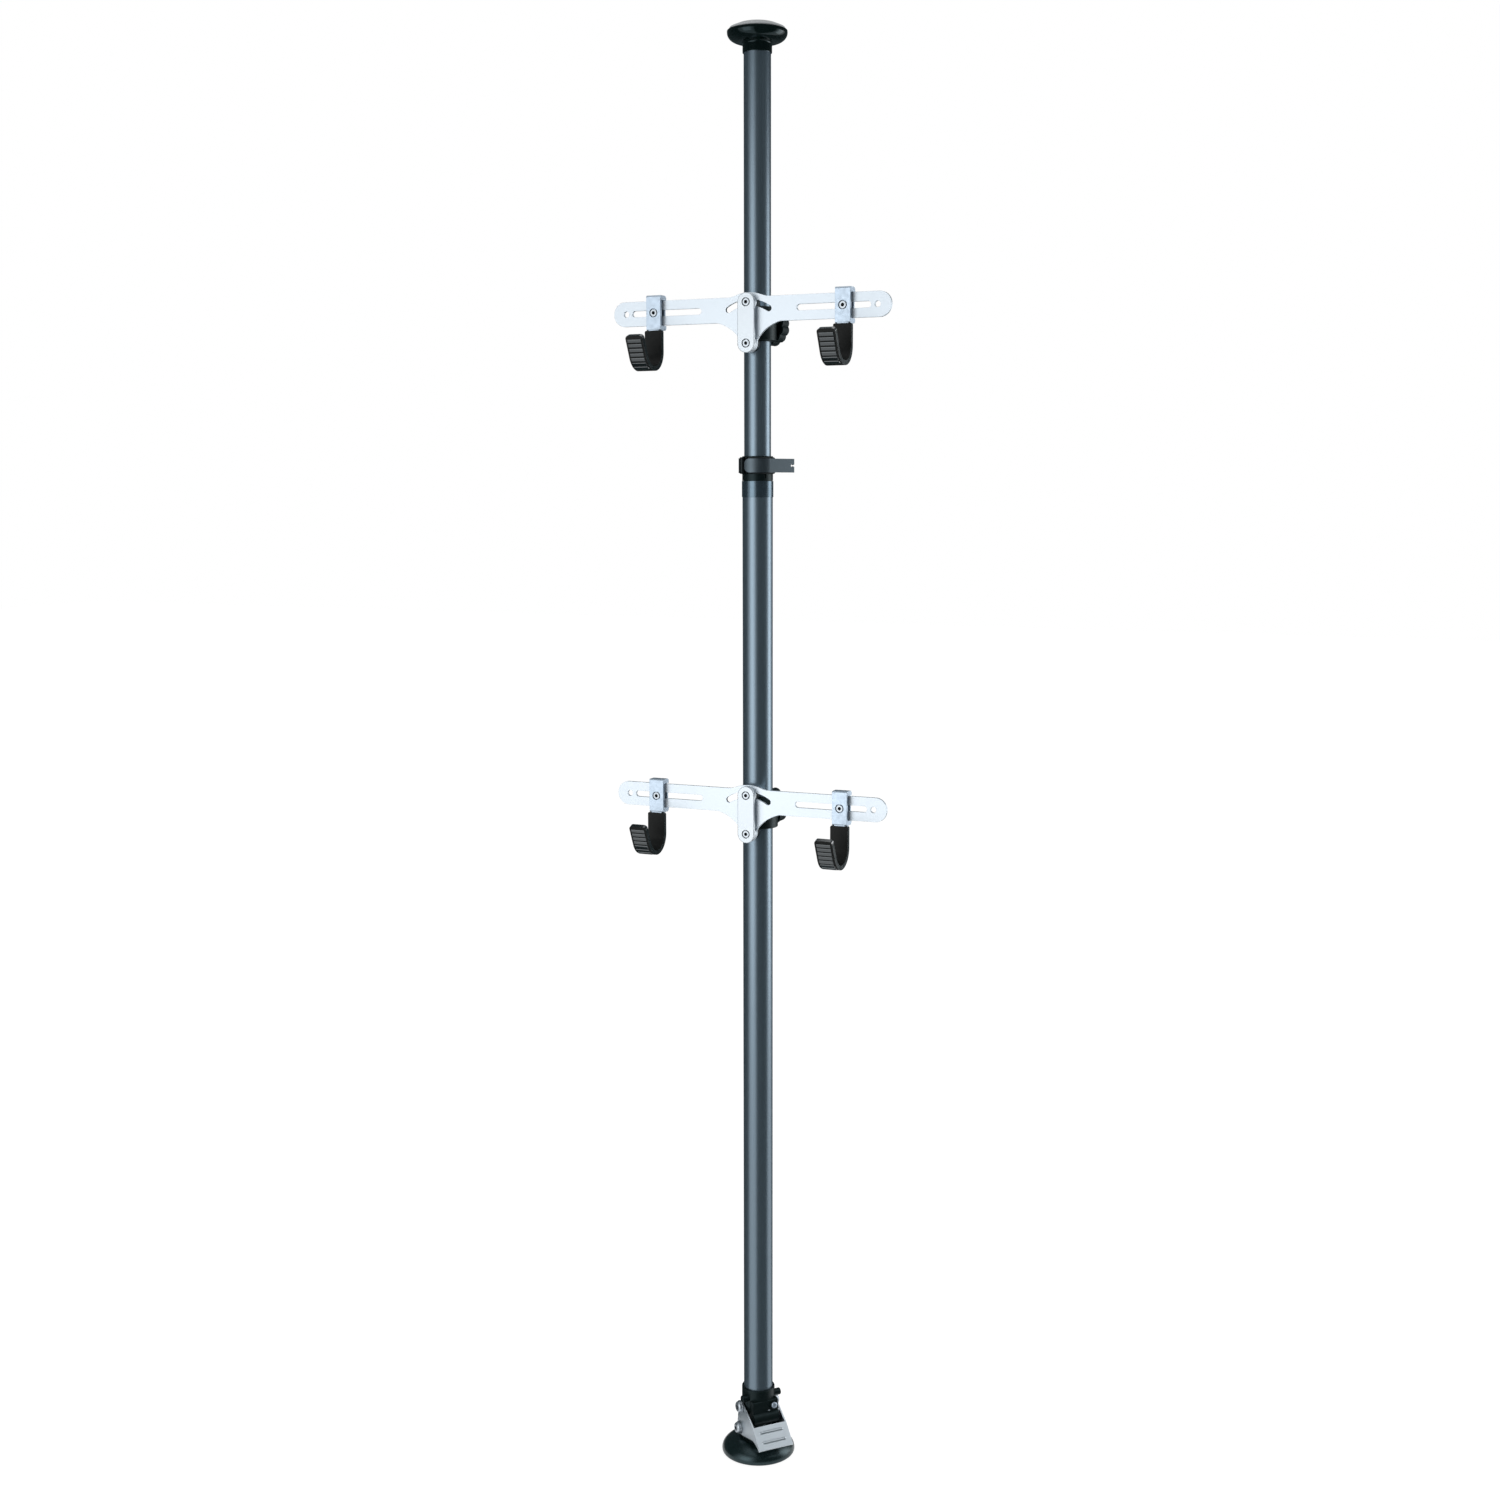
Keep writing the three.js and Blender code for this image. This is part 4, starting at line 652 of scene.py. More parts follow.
def addFoot():
    radius, rim, height, shoulder = foot["radius"], foot["rim"], foot["height"], foot["shoulder"]
    bottomEdge = bezier((foot["sole"], 0), (radius - foot["rimPull"], 0), (radius, rim / 3), (radius, rim), 8)
    lowShare, highShare = foot["bulgeShares"]
    dome = bezier((radius, rim), (radius, height * lowShare), ((radius + shoulder) / 2, height * highShare),
                  (shoulder, height), 24)
    socket = foot["yokeRadius"] + gap
    seat = height - foot["socketDepth"]
    profile = [(0, 0), *bottomEdge, *dome[1:], (socket, height, foot["socketEdge"]), (socket, seat),
               (0, seat)]
    complete(turnPiece("footPad", profile), "foot", "foot", "foot_pad", angle=40)

    cheek, stem = foot["cheek"], foot["stem"]
    inner, outer, corner = cheek["inner"], cheek["outer"], cheek["corner"]
    yoke = turnPiece("footYoke", rod(foot["yokeRadius"], seat + gap, foot["yokeTop"]))
    outline = [(-cheek["back"], cheek["foot"]), (cheek["front"], cheek["foot"]),
               (cheek["front"], cheek["top"], corner), (-cheek["back"], cheek["top"], corner)]
    sides = [prism("cheek", "side", outline, *ends) for ends in ((inner, outer), (-outer, -inner))]
    travel = [camPlace(share) for share in spread(0, 1, 12)]
    slot = prism("camSlot", "side", strip(travel, pedal["boltRadius"] + foot["slotPlay"]), -outer - overrun,
                 outer + overrun)
    room = drill(stem["radius"] + gap, stem["bottom"] - gap, foot["yokeTop"] + overrun, "up", sides=96)
    cutAway(weld(yoke, *sides), slot, room)
    complete(yoke, "foot", "moulded", "foot_yoke", edge=foot["edge"],
             azimuth=foot["azimuth"])

    # the stem is black moulded nylon, and its black also stands in for the shade in the gap under the nose:
    # partly its own colour, partly painted shade
    profile = oblong(stem["radius"] - stem["wall"], stem["radius"], stem["bottom"], stem["top"])
    complete(turnPiece("footStem", profile, sides=96), "foot", "moulded", "foot_stem",
             edge=foot["edge"])


# The pedal on its pivot, and the bolts at its sides. Its points are forward and up.
pedal = {
    "pivot": (-4, 83.5), "cam": (-9, 42.5), "swing": 40, "drop": 8.5,
    "inner": 29.8, "thickness": 2.5, "pivotEye": 10.5, "camEye": 10, "waist": 11, "waistPull": 6,
    "treadTop": (44, 64.5), "treadTip": (71.5, 34.4), "heel": (42, 41.5), "tipCut": 2.5, "heelPull": (8, 1),
    "rib": {"count": 2, "width": 7, "proud": 1.1, "inset": 7.5, "spacing": 17, "margin": 7, "end": 2},
    "boltRadius": 4,
    "head": {"radius": 10, "height": 6, "washerRadius": 11, "washer": 1.2, "washerEdges": (0.3, 0.4),
             "domeStart": 1.2, "domePull": 4, "crown": 2.5, "socketRim": 1.6, "socket": 8, "socketDepth": 4.5,
             "edge": 0.2},
}


def camPlace(share):  # where the cam bolt stands when the pedal has swung by a share of its travel
    pivotX, pivotZ = pedal["pivot"]
    camX, camZ = pedal["cam"]
    reach = math.hypot(camX - pivotX, pivotZ - camZ)
    turn = math.atan2(camX - pivotX, pivotZ - camZ) + share * math.radians(pedal["swing"])
    return pivotX + reach * math.sin(turn), pivotZ - share * pedal["drop"] - reach * math.cos(turn)


def addPedal():
    pivotX, pivotZ = pedal["pivot"]
    camX, camZ = pedal["cam"]
    topX, topZ = pedal["treadTop"]
    tipX, tipZ = pedal["treadTip"]
    heelX, heelZ = pedal["heel"]
    pullX, pullZ = pedal["heelPull"]
    inner, thick, cut = pedal["inner"], pedal["thickness"], pedal["tipCut"]
    outer = inner + thick
    eye, camEye = pedal["pivotEye"], pedal["camEye"]
    waistX, waistZ = pivotX - pedal["waist"], (camZ + pivotZ) / 2
    back = bezier((camX - camEye, camZ), (waistX, waistZ - pedal["waistPull"]),
                  (waistX, waistZ + pedal["waistPull"]), (pivotX - eye, pivotZ), 12)
    under = bezier((tipX - cut, tipZ - cut), ((tipX + heelX) / 2, heelZ - pullZ), (heelX + pullX, heelZ),
                   (heelX, heelZ), 10)
    outline = [(topX, topZ), (tipX, tipZ), *under, (camX + camEye, camZ - camEye),
               *arc(camX, camZ, camEye, -90, -180, 10), *back[1:-1], *arc(pivotX, pivotZ, eye, 180, 60, 16)]
    sheets = [prism("pedalSide", "side", outline, *ends) for ends in ((inner, outer), (-outer, -inner))]

    slope = math.atan2(topZ - tipZ, tipX - topX)
    dropX, dropZ = thick * math.sin(slope), thick * math.cos(slope)
    outline = [(topX, topZ), (tipX, tipZ), (tipX - dropX, tipZ - dropZ), (topX - dropX, topZ - dropZ)]
    tread = weld(prism("pedalLever", "side", outline, -outer, outer), *sheets)
    rib = pedal["rib"]
    half, ends = rib["width"] / 2, inner - rib["margin"]
    for i in range(rib["count"]):
        bump = turnPiece("rib", rod(half, -ends, ends, rib["end"]), "aside", sides=32)
        along = rib["inset"] + i * rib["spacing"] + half
        sink = half - rib["proud"]
        ribX = topX + along * math.cos(slope) - sink * math.sin(slope)
        ribZ = topZ - along * math.sin(slope) - sink * math.cos(slope)
        weld(tread, place(bump, (0, -ribX, ribZ)))
    for holeX, holeZ in (pedal["pivot"], pedal["cam"]):
        cutAway(tread, drill(pedal["boltRadius"] + gap, -outer - overrun, outer + overrun, "aside",
                             (0, -holeX, holeZ)))
    complete(tread, "pedal", "steel", "pedal_lever", edge=1, azimuth=foot["azimuth"],
             segments=3)


def addPedalBolts():
    head, shankRadius = pedal["head"], pedal["boltRadius"]
    radius, (lowEdge, highEdge) = head["radius"], head["washerEdges"]
    seat = pedal["inner"] + pedal["thickness"] + gap
    washerTop = seat + head["washer"]
    headTop = washerTop + head["height"]
    shank = foot["cheek"]["inner"] + gap
    dome = bezier((radius, washerTop + head["domeStart"]), (radius, washerTop + head["domePull"]),
                  (radius - head["crown"], headTop), (head["socket"] / 2 + head["socketRim"], headTop), 10)
    profile = [(0, shank), (shankRadius, shank), (shankRadius, seat), (head["washerRadius"], seat, lowEdge),
               (head["washerRadius"], washerTop, highEdge), (radius, washerTop), *dome, (0, headTop)]
    bolt = turnPiece("sideBolt", profile, "aside", sides=64)
    socket = prism("socket", "side", hexagon(head["socket"]), headTop - head["socketDepth"],
                   headTop + overrun)
    softenEdges(cutAway(bolt, socket), head["edge"])
    mirrored = copyOf(bolt, "sideBoltLeft", mirrored=True)
    for side, source in (("right", bolt), ("left", mirrored)):
        for use, body, spot in (("pedal", "tower", pedal["pivot"]), ("cam", "pedal", pedal["cam"])):
            copy = copyOf(source, joinWords(use, "bolt", side), (0, -spot[0], spot[1]))
            fit(place(copy, turn=foot["azimuth"]), body, "bolt", f"{use}_bolt_{side}")
    for source in (bolt, mirrored):
        bpy.data.objects.remove(source)


# The collar on the tube's lower end: stop pegs, pivot bosses, nose and lock button
collar = {
    "bottom": 76, "top": 119, "wall": 3.2, "socketDepth": 18, "rim": 1, "edge": 0.6,
    "peg": {"radius": 6, "reach": 37, "forward": 10, "height": 104, "edge": 1.5},
    "nose": {"front": 29, "top": 101, "corner": 3, "halfWidth": 23.8},
    "barrel": {"radius": 12, "forward": 24, "height": 69.5}, "boss": 8.5,
    "pins": {"sunk": 2, "front": {"radius": 1.8, "aside": 6.5, "height": 83, "proud": 0.9, "edge": 0.5},
             "side": {"radius": 3.2, "forward": 25.5, "height": 79, "proud": 3.4, "edge": 1.5}},
    "button": {"radius": 5.5, "aside": 15.5, "height": 91.5, "bossWall": 1.8, "bossReach": 2, "length": 8.7,
               "proud": 3.5, "dome": 2.6, "holeStart": 22.4},
}


def addCollar():
    nose, barrel, peg, button = (collar[name] for name in ("nose", "barrel", "peg", "button"))
    azimuth, top, noseHalf = foot["azimuth"], collar["top"], nose["halfWidth"]
    radius = tubes["lower"]["radius"] + gap
    stemBore = foot["stem"]["radius"] + gap
    seat = top - collar["socketDepth"]
    outer = radius + collar["wall"]
    profile = [(stemBore, collar["bottom"]), (outer, collar["bottom"]), (outer, top, collar["rim"]),
               (radius, top), (radius, seat), (stemBore, seat)]
    body = turnPiece("baseCollar", profile)
    pegs = turnPiece("pegs", rod(peg["radius"], -peg["reach"], peg["reach"], peg["edge"]), "aside",
                     (0, -peg["forward"], peg["height"]), 48)
    chin = barrel["height"] - barrel["radius"]
    outline = [(0, nose["top"]), (nose["front"], nose["top"], nose["corner"]),
               (nose["front"], barrel["height"]), (barrel["forward"], chin), (0, chin)]
    block = prism("nose", "side", outline, -noseHalf, noseHalf)
    roll = turnPiece("roll", rod(barrel["radius"], -noseHalf, noseHalf), "aside",
                     (0, -barrel["forward"], barrel["height"]), 64)
    pivotSpot = (0, -pedal["pivot"][0], pedal["pivot"][1])
    reach = pedal["inner"] - gap
    bosses = turnPiece("bosses", rod(collar["boss"], -reach, reach), "aside", pivotSpot, 64)
    front = nose["front"] + button["bossReach"]
    spot = (button["aside"], 0, button["height"])
    bossRadius = button["radius"] + gap + button["bossWall"]
    boss = turnPiece("boss", rod(bossRadius, barrel["forward"], front), "forward", spot, 64)
    weld(body, block, roll, pegs, bosses, boss)
    cutAway(body, drill(stemBore, 0, seat, "up", sides=128),
            drill(radius, seat, top + overrun, "up", sides=128),
            drill(pedal["boltRadius"] + gap, -reach - overrun, reach + overrun, "aside", pivotSpot),
            drill(button["radius"] + gap, button["holeStart"], front + overrun, "forward", spot, 64))
    complete(body, "tower", "moulded", "base_collar", edge=collar["edge"], azimuth=azimuth)

    tip = front + button["proud"]
    buttonBack, domeBottom = tip - button["length"], tip - button["dome"]
    crown = bezier((button["radius"], domeBottom), (button["radius"], tip - button["dome"] / 3),
                   (button["radius"] / 2, tip), (0, tip), 12)
    profile = [(0, buttonBack), (button["radius"], buttonBack), *crown]
    knob = turnPiece("lockButton", profile, "forward", spot, 64)
    complete(knob, "lock_button", "cast", "lock_button", azimuth=azimuth)

    dot, screw, sunk = collar["pins"]["front"], collar["pins"]["side"], collar["pins"]["sunk"]
    profile = rod(dot["radius"], nose["front"] - sunk, nose["front"] + dot["proud"], dot["edge"])
    stud = turnPiece("nosePin", profile, "forward", (dot["aside"], 0, dot["height"]), 32)
    profile = rod(screw["radius"], noseHalf - sunk, noseHalf + screw["proud"], screw["edge"])
    cap = turnPiece("noseScrew", profile, "aside", (0, -screw["forward"], screw["height"]), 32)
    for pin in (stud, cap):
        complete(pin, "tower", "bolt", azimuth=azimuth)


# The racks. Each piece is modelled on the lower rack and copied to the upper, whose tube is thinner.
rack = {
    "heights": {"lower": 1160, "upper": 1961}, "lock": 11, "pivot": -54,
    "bar": {"back": 9, "thickness": 4.5, "edge": 1.4, "half": 20, "endRounding": 19.95, "length": 489,
            "hump": 27, "humpHalf": 36, "humpShares": (0.5, 0.7), "lobe": 14.5, "neckHalf": 55,
            "neckPull": (27, -28), "lobeMeet": 4.8, "slot": (84, 210.5), "slotRadius": 5, "hole": 5,
            "holeInset": 23, "tiltReach": 33, "bushHole": 6.8},
    "link": {"radius": 15, "boss": 6, "bossInset": 0.6, "bossSunk": 1, "thickness": 5, "bore": 7.2,
             "edge": 1.1, "holeEdge": 0.25},
    "bolt": {"radius": 4, "head": 6, "height": 5.6, "setback": 1.8, "socket": 5.4, "depth": 4.6,
             "edges": (0.5, 0.8), "socketEdge": 0.15},
    "clamp": {"top": 5, "bottom": -48, "ringEdge": 1.5, "spine": 13, "linerWall": 2.5, "linerProud": 1.2,
              "linerEdge": 0.3, "boss": 12, "bossReach": 10.5, "bossEdge": 1, "room": 30, "edge": 0.6},
    "knob": {"radius": 31.5, "thickness": 26, "standoff": 12, "flutes": 12, "flute": 2.6, "fluteCurve": 0.7,
             "hub": 12, "rim": 6, "recess": 7, "recessRounding": 1.5, "rimDraft": 1.5, "hubDraft": 1,
             "dishEdge": 1.6, "dishMiddle": 2.4, "dishDraft": 1, "dishRounding": 1, "socketDepth": 15,
             "edge": 1.1, "stud": 4, "pitch": 1.5, "threadDepth": 0.45},
}


def rackLayers():  # how far forward the lower rack's layers stand, and how high its knob
    barBack = tubes["lower"]["radius"] + rack["bar"]["back"]
    barFront = barBack + rack["bar"]["thickness"]
    linkBack = barFront + gap
    plateBack = linkBack + rack["link"]["boss"]
    return {"barBack": barBack, "barFront": barFront, "linkBack": linkBack, "plateBack": plateBack,
            "linkFront": plateBack + rack["link"]["thickness"],
            "knobHeight": (rack["pivot"] + rack["lock"]) / 2}


def addBar():
    bar, layers = rack["bar"], rackLayers()
    back, front = layers["barBack"], layers["barFront"]
    cutBack, cutFront = back - overrun, front + overrun
    half, end, lobe, pivot = bar["half"], bar["length"] / 2, bar["lobe"], rack["pivot"]
    crest, level = bar["humpShares"]
    hump = bezier((0, bar["hump"]), (bar["humpHalf"] * crest, bar["hump"]), (bar["humpHalf"] * level, half),
                  (bar["humpHalf"], half), 10)
    meetX, meetZ = lobe, pivot + bar["lobeMeet"]
    pullX, pullZ = bar["neckPull"]
    neck = bezier((bar["neckHalf"], -half), ((bar["neckHalf"] + 2 * pullX) / 3, (-half + 2 * pullZ) / 3),
                  ((meetX + 2 * pullX) / 3, (meetZ + 2 * pullZ) / 3), (meetX, meetZ), 14)
    corners = [(end, half, bar["endRounding"]), (end, -half, bar["endRounding"])]
    right = hump + corners + neck + arc(0, pivot, lobe, 0, -90, 12)
    left = [(-corner[0], *corner[1:]) for corner in right[1:-1]]
    plate = prism("bar", "front", right + left[::-1], back, front)
    slots = [arc(0, pivot, rack["lock"] - pivot, 90 - bar["tiltReach"], 90 + bar["tiltReach"], 24)]
    first, last = bar["slot"][0] + bar["slotRadius"], bar["slot"][1] - bar["slotRadius"]
    slots += [[(side * first, 0), (side * last, 0)] for side in (-1, 1)]
    cuts = [prism("slot", "front", strip(slot, bar["slotRadius"]), cutBack, cutFront) for slot in slots]
    cuts += [drill(bar["hole"], cutBack, cutFront, centre=(side * (end - bar["holeInset"]), 0, 0))
             for side in (-1, 1)]
    cutAway(plate, *cuts, drill(bar["bushHole"], cutBack, cutFront, centre=(0, 0, pivot)))
    # the bevels take the darker edge finish: painted shade along the bar's outline
    for look in ("satin", "edge"):
        plate.data.materials.append(finishes[look])
    return softenEdges(plate, bar["edge"], 3, edgeMaterial=1)


def addLink():
    link, bolt, layers = rack["link"], rack["bolt"], rackLayers()
    back, plateBack, front = layers["linkBack"], layers["plateBack"], layers["linkFront"]
    outline = strip([(0, rack["pivot"]), (0, rack["lock"])], link["radius"], 20)
    plate = softenEdges(prism("link", "front", outline, plateBack, front), link["edge"], 3)
    for height in (rack["pivot"], rack["lock"]):
        spot = (0, 0, height)
        boss = rod(link["radius"] - link["bossInset"], back, plateBack + link["bossSunk"])
        weld(plate, turnPiece("boss", boss, "forward", spot, 96))
        cutAway(plate, drill(bolt["radius"] + gap, back - overrun, front, centre=spot),
                drill(link["bore"], front - bolt["height"] - gap, front + overrun, centre=spot, sides=64))
    return softenEdges(plate, link["holeEdge"])


def socketBolt(name, headTop, headHeight, end):
    bolt, (endEdge, headEdge) = rack["bolt"], rack["bolt"]["edges"]
    seat = headTop - headHeight
    profile = [(0, end), (bolt["radius"], end, endEdge), (bolt["radius"], seat), (bolt["head"], seat),
               (bolt["head"], headTop, headEdge), (0, headTop)]
    piece = turnPiece(name, profile, "forward", sides=64)
    socket = prism("socket", "front", hexagon(bolt["socket"]), headTop - bolt["depth"], headTop + overrun)
    return softenEdges(cutAway(piece, socket), bolt["socketEdge"])


def addClampBody(name):
    clamp, lock, pivot = rack["clamp"], rack["lock"], rack["pivot"]
    radius, knobHeight = tubes[name]["radius"], rackLayers()["knobHeight"]
    face = radius + rack["bar"]["back"] - gap
    linerRadius = radius + gap + clamp["linerWall"]
    bore = linerRadius + gap
    low, high, edge = clamp["bottom"], clamp["top"], clamp["ringEdge"]
    linerLow, linerHigh = low - clamp["linerProud"], high + clamp["linerProud"]
    liner = turnPiece(name + "Liner", oblong(radius + gap, linerRadius, linerLow, linerHigh))
    softenEdges(liner, clamp["linerEdge"])
    body = turnPiece(name + "ClampBody", [(bore, low), (face, low, edge), (face, high, edge), (bore, high)])
    spine = prism("spine", "front", strip([(0, pivot), (0, lock)], clamp["spine"], 20), 0, face)
    profile = rod(clamp["boss"], -radius - clamp["bossReach"], 0, clamp["bossEdge"])
    boss = turnPiece("boss", profile, "forward", (0, 0, knobHeight), 64)
    weld(body, spine, boss)
    tubeRoom = drill(radius + 2 * gap, pivot - clamp["room"], lock + clamp["room"], "up", sides=128)
    linerRoom = drill(bore, linerLow - gap, linerHigh + gap, "up", sides=128)
    studReach = -radius - clamp["bossReach"] - overrun
    stud = drill(rack["knob"]["stud"] + gap, studReach, 0, centre=(0, 0, knobHeight))
    bolts = [drill(rack["bolt"]["radius"] + gap, 0, face + overrun, centre=(0, 0, height))
             for height in (lock, pivot)]
    return liner, softenEdges(cutAway(body, tubeRoom, linerRoom, stud, *bolts), clamp["edge"])


def addKnob():
    knob = rack["knob"]
    radius, knobHeight = tubes["lower"]["radius"], rackLayers()["knobHeight"]
    front = -radius - knob["standoff"]
    back = front - knob["thickness"]
    steps = 12
    count = knob["flutes"] * steps
    outline = []
    for i in range(count):
        hollow = 1 - abs(math.sin(math.pi * i / steps)) ** knob["fluteCurve"]
        outline.append(polar(knob["radius"] - knob["flute"] * hollow, 360 * i / count))
    body = prism("knob", "front", outline, back, front)
    hub, rim = knob["hub"], knob["radius"] - knob["rim"]
    floor, corner, mouth = front - knob["recess"], knob["recessRounding"], front + overrun
    recess = turnPiece("recess", [(hub, floor, corner), (rim, floor, corner), (rim + knob["rimDraft"], mouth),
                                  (hub - knob["hubDraft"], mouth)], "forward", sides=96)
    dish = turnPiece("dish", [(0, back - overrun), (rim, back - overrun),
                              (rim - knob["dishDraft"], back + knob["dishEdge"], knob["dishRounding"]),
                              (0, back + knob["dishMiddle"])], "forward", sides=96)
    socket = drill(knob["stud"] + gap, front - knob["socketDepth"], mouth)
    softenEdges(cutAway(body, recess, dish, socket), knob["edge"], 3, 50)
    place(body, (0, 0, knobHeight))

    linerFace = -radius - gap - rack["clamp"]["linerWall"] - gap
    start, pitch, core = front - knob["socketDepth"] + gap, knob["pitch"], knob["stud"] - knob["threadDepth"]
    turns = int((linerFace - start) / pitch)
    thread = [(0, start)]
    for i in range(turns):
        thread += [(core, start + pitch * i), (knob["stud"], start + pitch * (i + 0.5))]
    thread += [(core, start + pitch * turns), (core, linerFace), (0, linerFace)]
    stud = turnPiece("knobStud", thread, "forward", (0, 0, knobHeight), 32)
    return body, softenEdges(stud, 0)


# A hook with its bracket, spacer, bolt and slide plate, modelled at the middle of the bar
hook = {
    "reach": 166.5, "width": 26, "web": 5, "gap": 5.5, "flange": 8, "depth": 22, "frontRound": 3,
    "backRound": 6, "webRound": 1.5, "edge": 0.5, "core": (19, 4), "cover": (31, 7.5), "straight": 34,
    "bend": 29, "lean": 66, "tongue": 33.5, "tipWall": 5, "endRound": 5.5, "lip": 2.2,
    "ribs": {"count": 7, "pitch": 7.8, "first": 9, "length": 6.4, "proud": 1.3, "sunk": 1.5, "edge": 1.2,
             "margin": 2.6},
    "headHeight": 3, "spacer": 7.5, "spacerEdge": 0.4, "plate": 4, "plateRound": 3,
}


def hookPath(top, armForward, trim=0, steps=28):
    bend = arc(armForward + hook["bend"], top - hook["straight"], hook["bend"], 180, 270 + hook["lean"],
               steps)
    lean = math.radians(hook["lean"])
    length = hook["tongue"] + trim
    return [(armForward, top), *bend,
            (bend[-1][0] + length * math.cos(lean), bend[-1][1] + length * math.sin(lean))]


def onCover(path, fromTip, out):  # a point so far from the cover's tip and so far out of its middle
    for i in range(len(path) - 1, 0, -1):
        here, there = Vector(path[i]), Vector(path[i - 1])
        length = (there - here).length
        if fromTip <= length or i == 1:
            along = (there - here).normalized()
            return tuple(here + along * fromTip + Vector((-along.y, along.x)) * out)
        fromTip -= length


def addHookBracket(webBack, armForward):
    half = rack["bar"]["half"] + gap
    outer = half + hook["flange"]
    webFront = webBack + hook["web"]
    back = webFront - hook["depth"]
    front, rear, web = hook["frontRound"], hook["backRound"], hook["webRound"]
    channel = [(back, half), (back, outer, rear), (webFront, outer, front), (webFront, -outer, front),
               (back, -outer, rear), (back, -half), (webBack, -half, web), (webBack, half, web)]
    bracket = prism("hookBracket", "side", channel, -hook["width"] / 2, hook["width"] / 2)
    coreWidth, coreThickness = hook["core"]
    core = hookPath(-outer - gap, armForward, -hook["tipWall"])
    core[0] = (armForward, -outer + front)
    weld(bracket, bentSheet("core", "side", core, -coreWidth / 2, coreWidth / 2, coreThickness))
    cutAway(bracket, drill(rack["bolt"]["radius"] + gap, webBack - overrun, webFront + overrun),
            drill(rack["link"]["bore"], webFront - hook["headHeight"] - gap, webFront + overrun, sides=64))
    return softenEdges(bracket, hook["edge"])


def addHookCover(armForward):
    width, thickness = hook["cover"]
    coverTop = -(rack["bar"]["half"] + gap + hook["flange"]) - gap
    path = hookPath(coverTop, armForward, thickness / 2)
    cover = bentSheet("hookCover", "side", path, -width / 2, width / 2, thickness,
                      (hook["endRound"] / 2, hook["endRound"]), ("dipped", "pimpled"))
    ribs = hook["ribs"]
    ends = width / 2 - ribs["margin"]
    spots = [(quarter, thickness / 2 + ribs["proud"]) for quarter in range(-2, 3)]
    spots += [(quarter, thickness / 2 - ribs["sunk"]) for quarter in (2, -2)]
    for i in range(ribs["count"]):
        middle = ribs["first"] + i * ribs["pitch"]
        profile = [onCover(path, middle + quarter * ribs["length"] / 4, out) for quarter, out in spots]
        pad = prism("rib", "side", profile, -ends, ends)
        useModifier(pad, "BEVEL", width=ribs["edge"] * mm, segments=3, limit_method="ANGLE",
                    angle_limit=math.radians(40))
        weld(cover, pad)
    return softenEdges(cover, hook["lip"], 5, 50)


def addHook():
    layers, boltHole = rackLayers(), rack["bolt"]["radius"] + gap
    webBack = layers["barFront"] + hook["gap"]
    armForward = webBack + hook["web"] / 2
    bracket = addHookBracket(webBack, armForward)
    cover = addHookCover(armForward)
    plateFront = layers["barBack"] - gap
    plateBack = plateFront - hook["plate"]
    screw = socketBolt("hookBolt", webBack + hook["web"], hook["headHeight"], plateBack)
    profile = oblong(boltHole, hook["spacer"], webBack - hook["gap"] + gap, webBack - gap)
    spacer = softenEdges(turnPiece("hookSpacer", profile, "forward", sides=64), hook["spacerEdge"])
    half, side = rack["bar"]["half"] - gap, hook["width"] / 2
    outline = oblong(-side, side, -half, half, hook["plateRound"])
    plate = prism("slidePlate", "front", outline, plateBack, plateFront)
    cutAway(plate, drill(boltHole, plateBack - overrun, plateFront + overrun))
    softenEdges(plate, hook["edge"])
    return {"hook_bracket": bracket, "hook_cover": cover, "hook_bolt": screw, "hook_spacer": spacer,
            "slide_plate": plate}


def addRacks():
    bolt, radius = rack["bolt"], tubes["lower"]["radius"]
    knob, stud = addKnob()
    linkBolt = socketBolt("linkBolt", rackLayers()["linkFront"], bolt["height"], radius + bolt["setback"])
    lockBolt = place(copyOf(linkBolt, "lockBolt"), (0, 0, rack["lock"]))
    pivotBolt = place(copyOf(linkBolt, "pivotBolt"), (0, 0, rack["pivot"]))
    middle = {
        "bar": (addBar(), "_bar", "satin_aluminium", "satin"),
        # the link takes the darker copy of the satin plate, painted shade
        "link": (addLink(), "_clamp", "satin_aluminium", "bright"),
        "lock_bolt": (lockBolt, "_clamp", "bolt_steel", "bolt"),
        "pivot_bolt": (pivotBolt, "_clamp", "bolt_steel", "bolt"),
        "knob": (knob, "_knob", "black_plastic", "moulded"),
        "knob_stud": (stud, "_knob", "bolt_steel", "bolt"),
    }
    hookLooks = {
        "hook_bracket": ("cast_aluminium", "cast"), "hook_cover": ("dipped_pvc", "dipped"),
        "hook_bolt": ("bolt_steel", "bolt"), "hook_spacer": ("black_plastic", "moulded"),
        "slide_plate": ("cast_aluminium", "cast"),
    }
    hookPieces = addHook()
    for name, height in rack["heights"].items():
        thinner = radius - tubes[name]["radius"]
        for node, (source, body, slot, look) in middle.items():
            behind = -thinner if node in ("knob", "knob_stud") else thinner
            copy = copyOf(source, joinWords(name, source.name), (0, behind, height))
            fit(copy, name + body, look, f"{name}_{node}")
        liner, body = addClampBody(name)
        for piece, ends in ((liner, ("_liner", "_liner")), (body, ("_clamp", "_clamp_body"))):
            fit(place(piece, (0, 0, height)), name + ends[0], "moulded", name + ends[1])
        for side, sign in (("left", -1), ("right", 1)):
            for node, (slot, look) in hookLooks.items():
                source = hookPieces[node]
                copy = copyOf(source, joinWords(name, side, source.name),
                              (sign * hook["reach"], thinner, height))
                fit(copy, f"{name}_hook_{side}", look, f"{name}_{node}_{side}")
        print(name, "rack modelled")
    for source in [linkBolt, *hookPieces.values(), *(entry[0] for entry in middle.values())]:
        bpy.data.objects.remove(source)


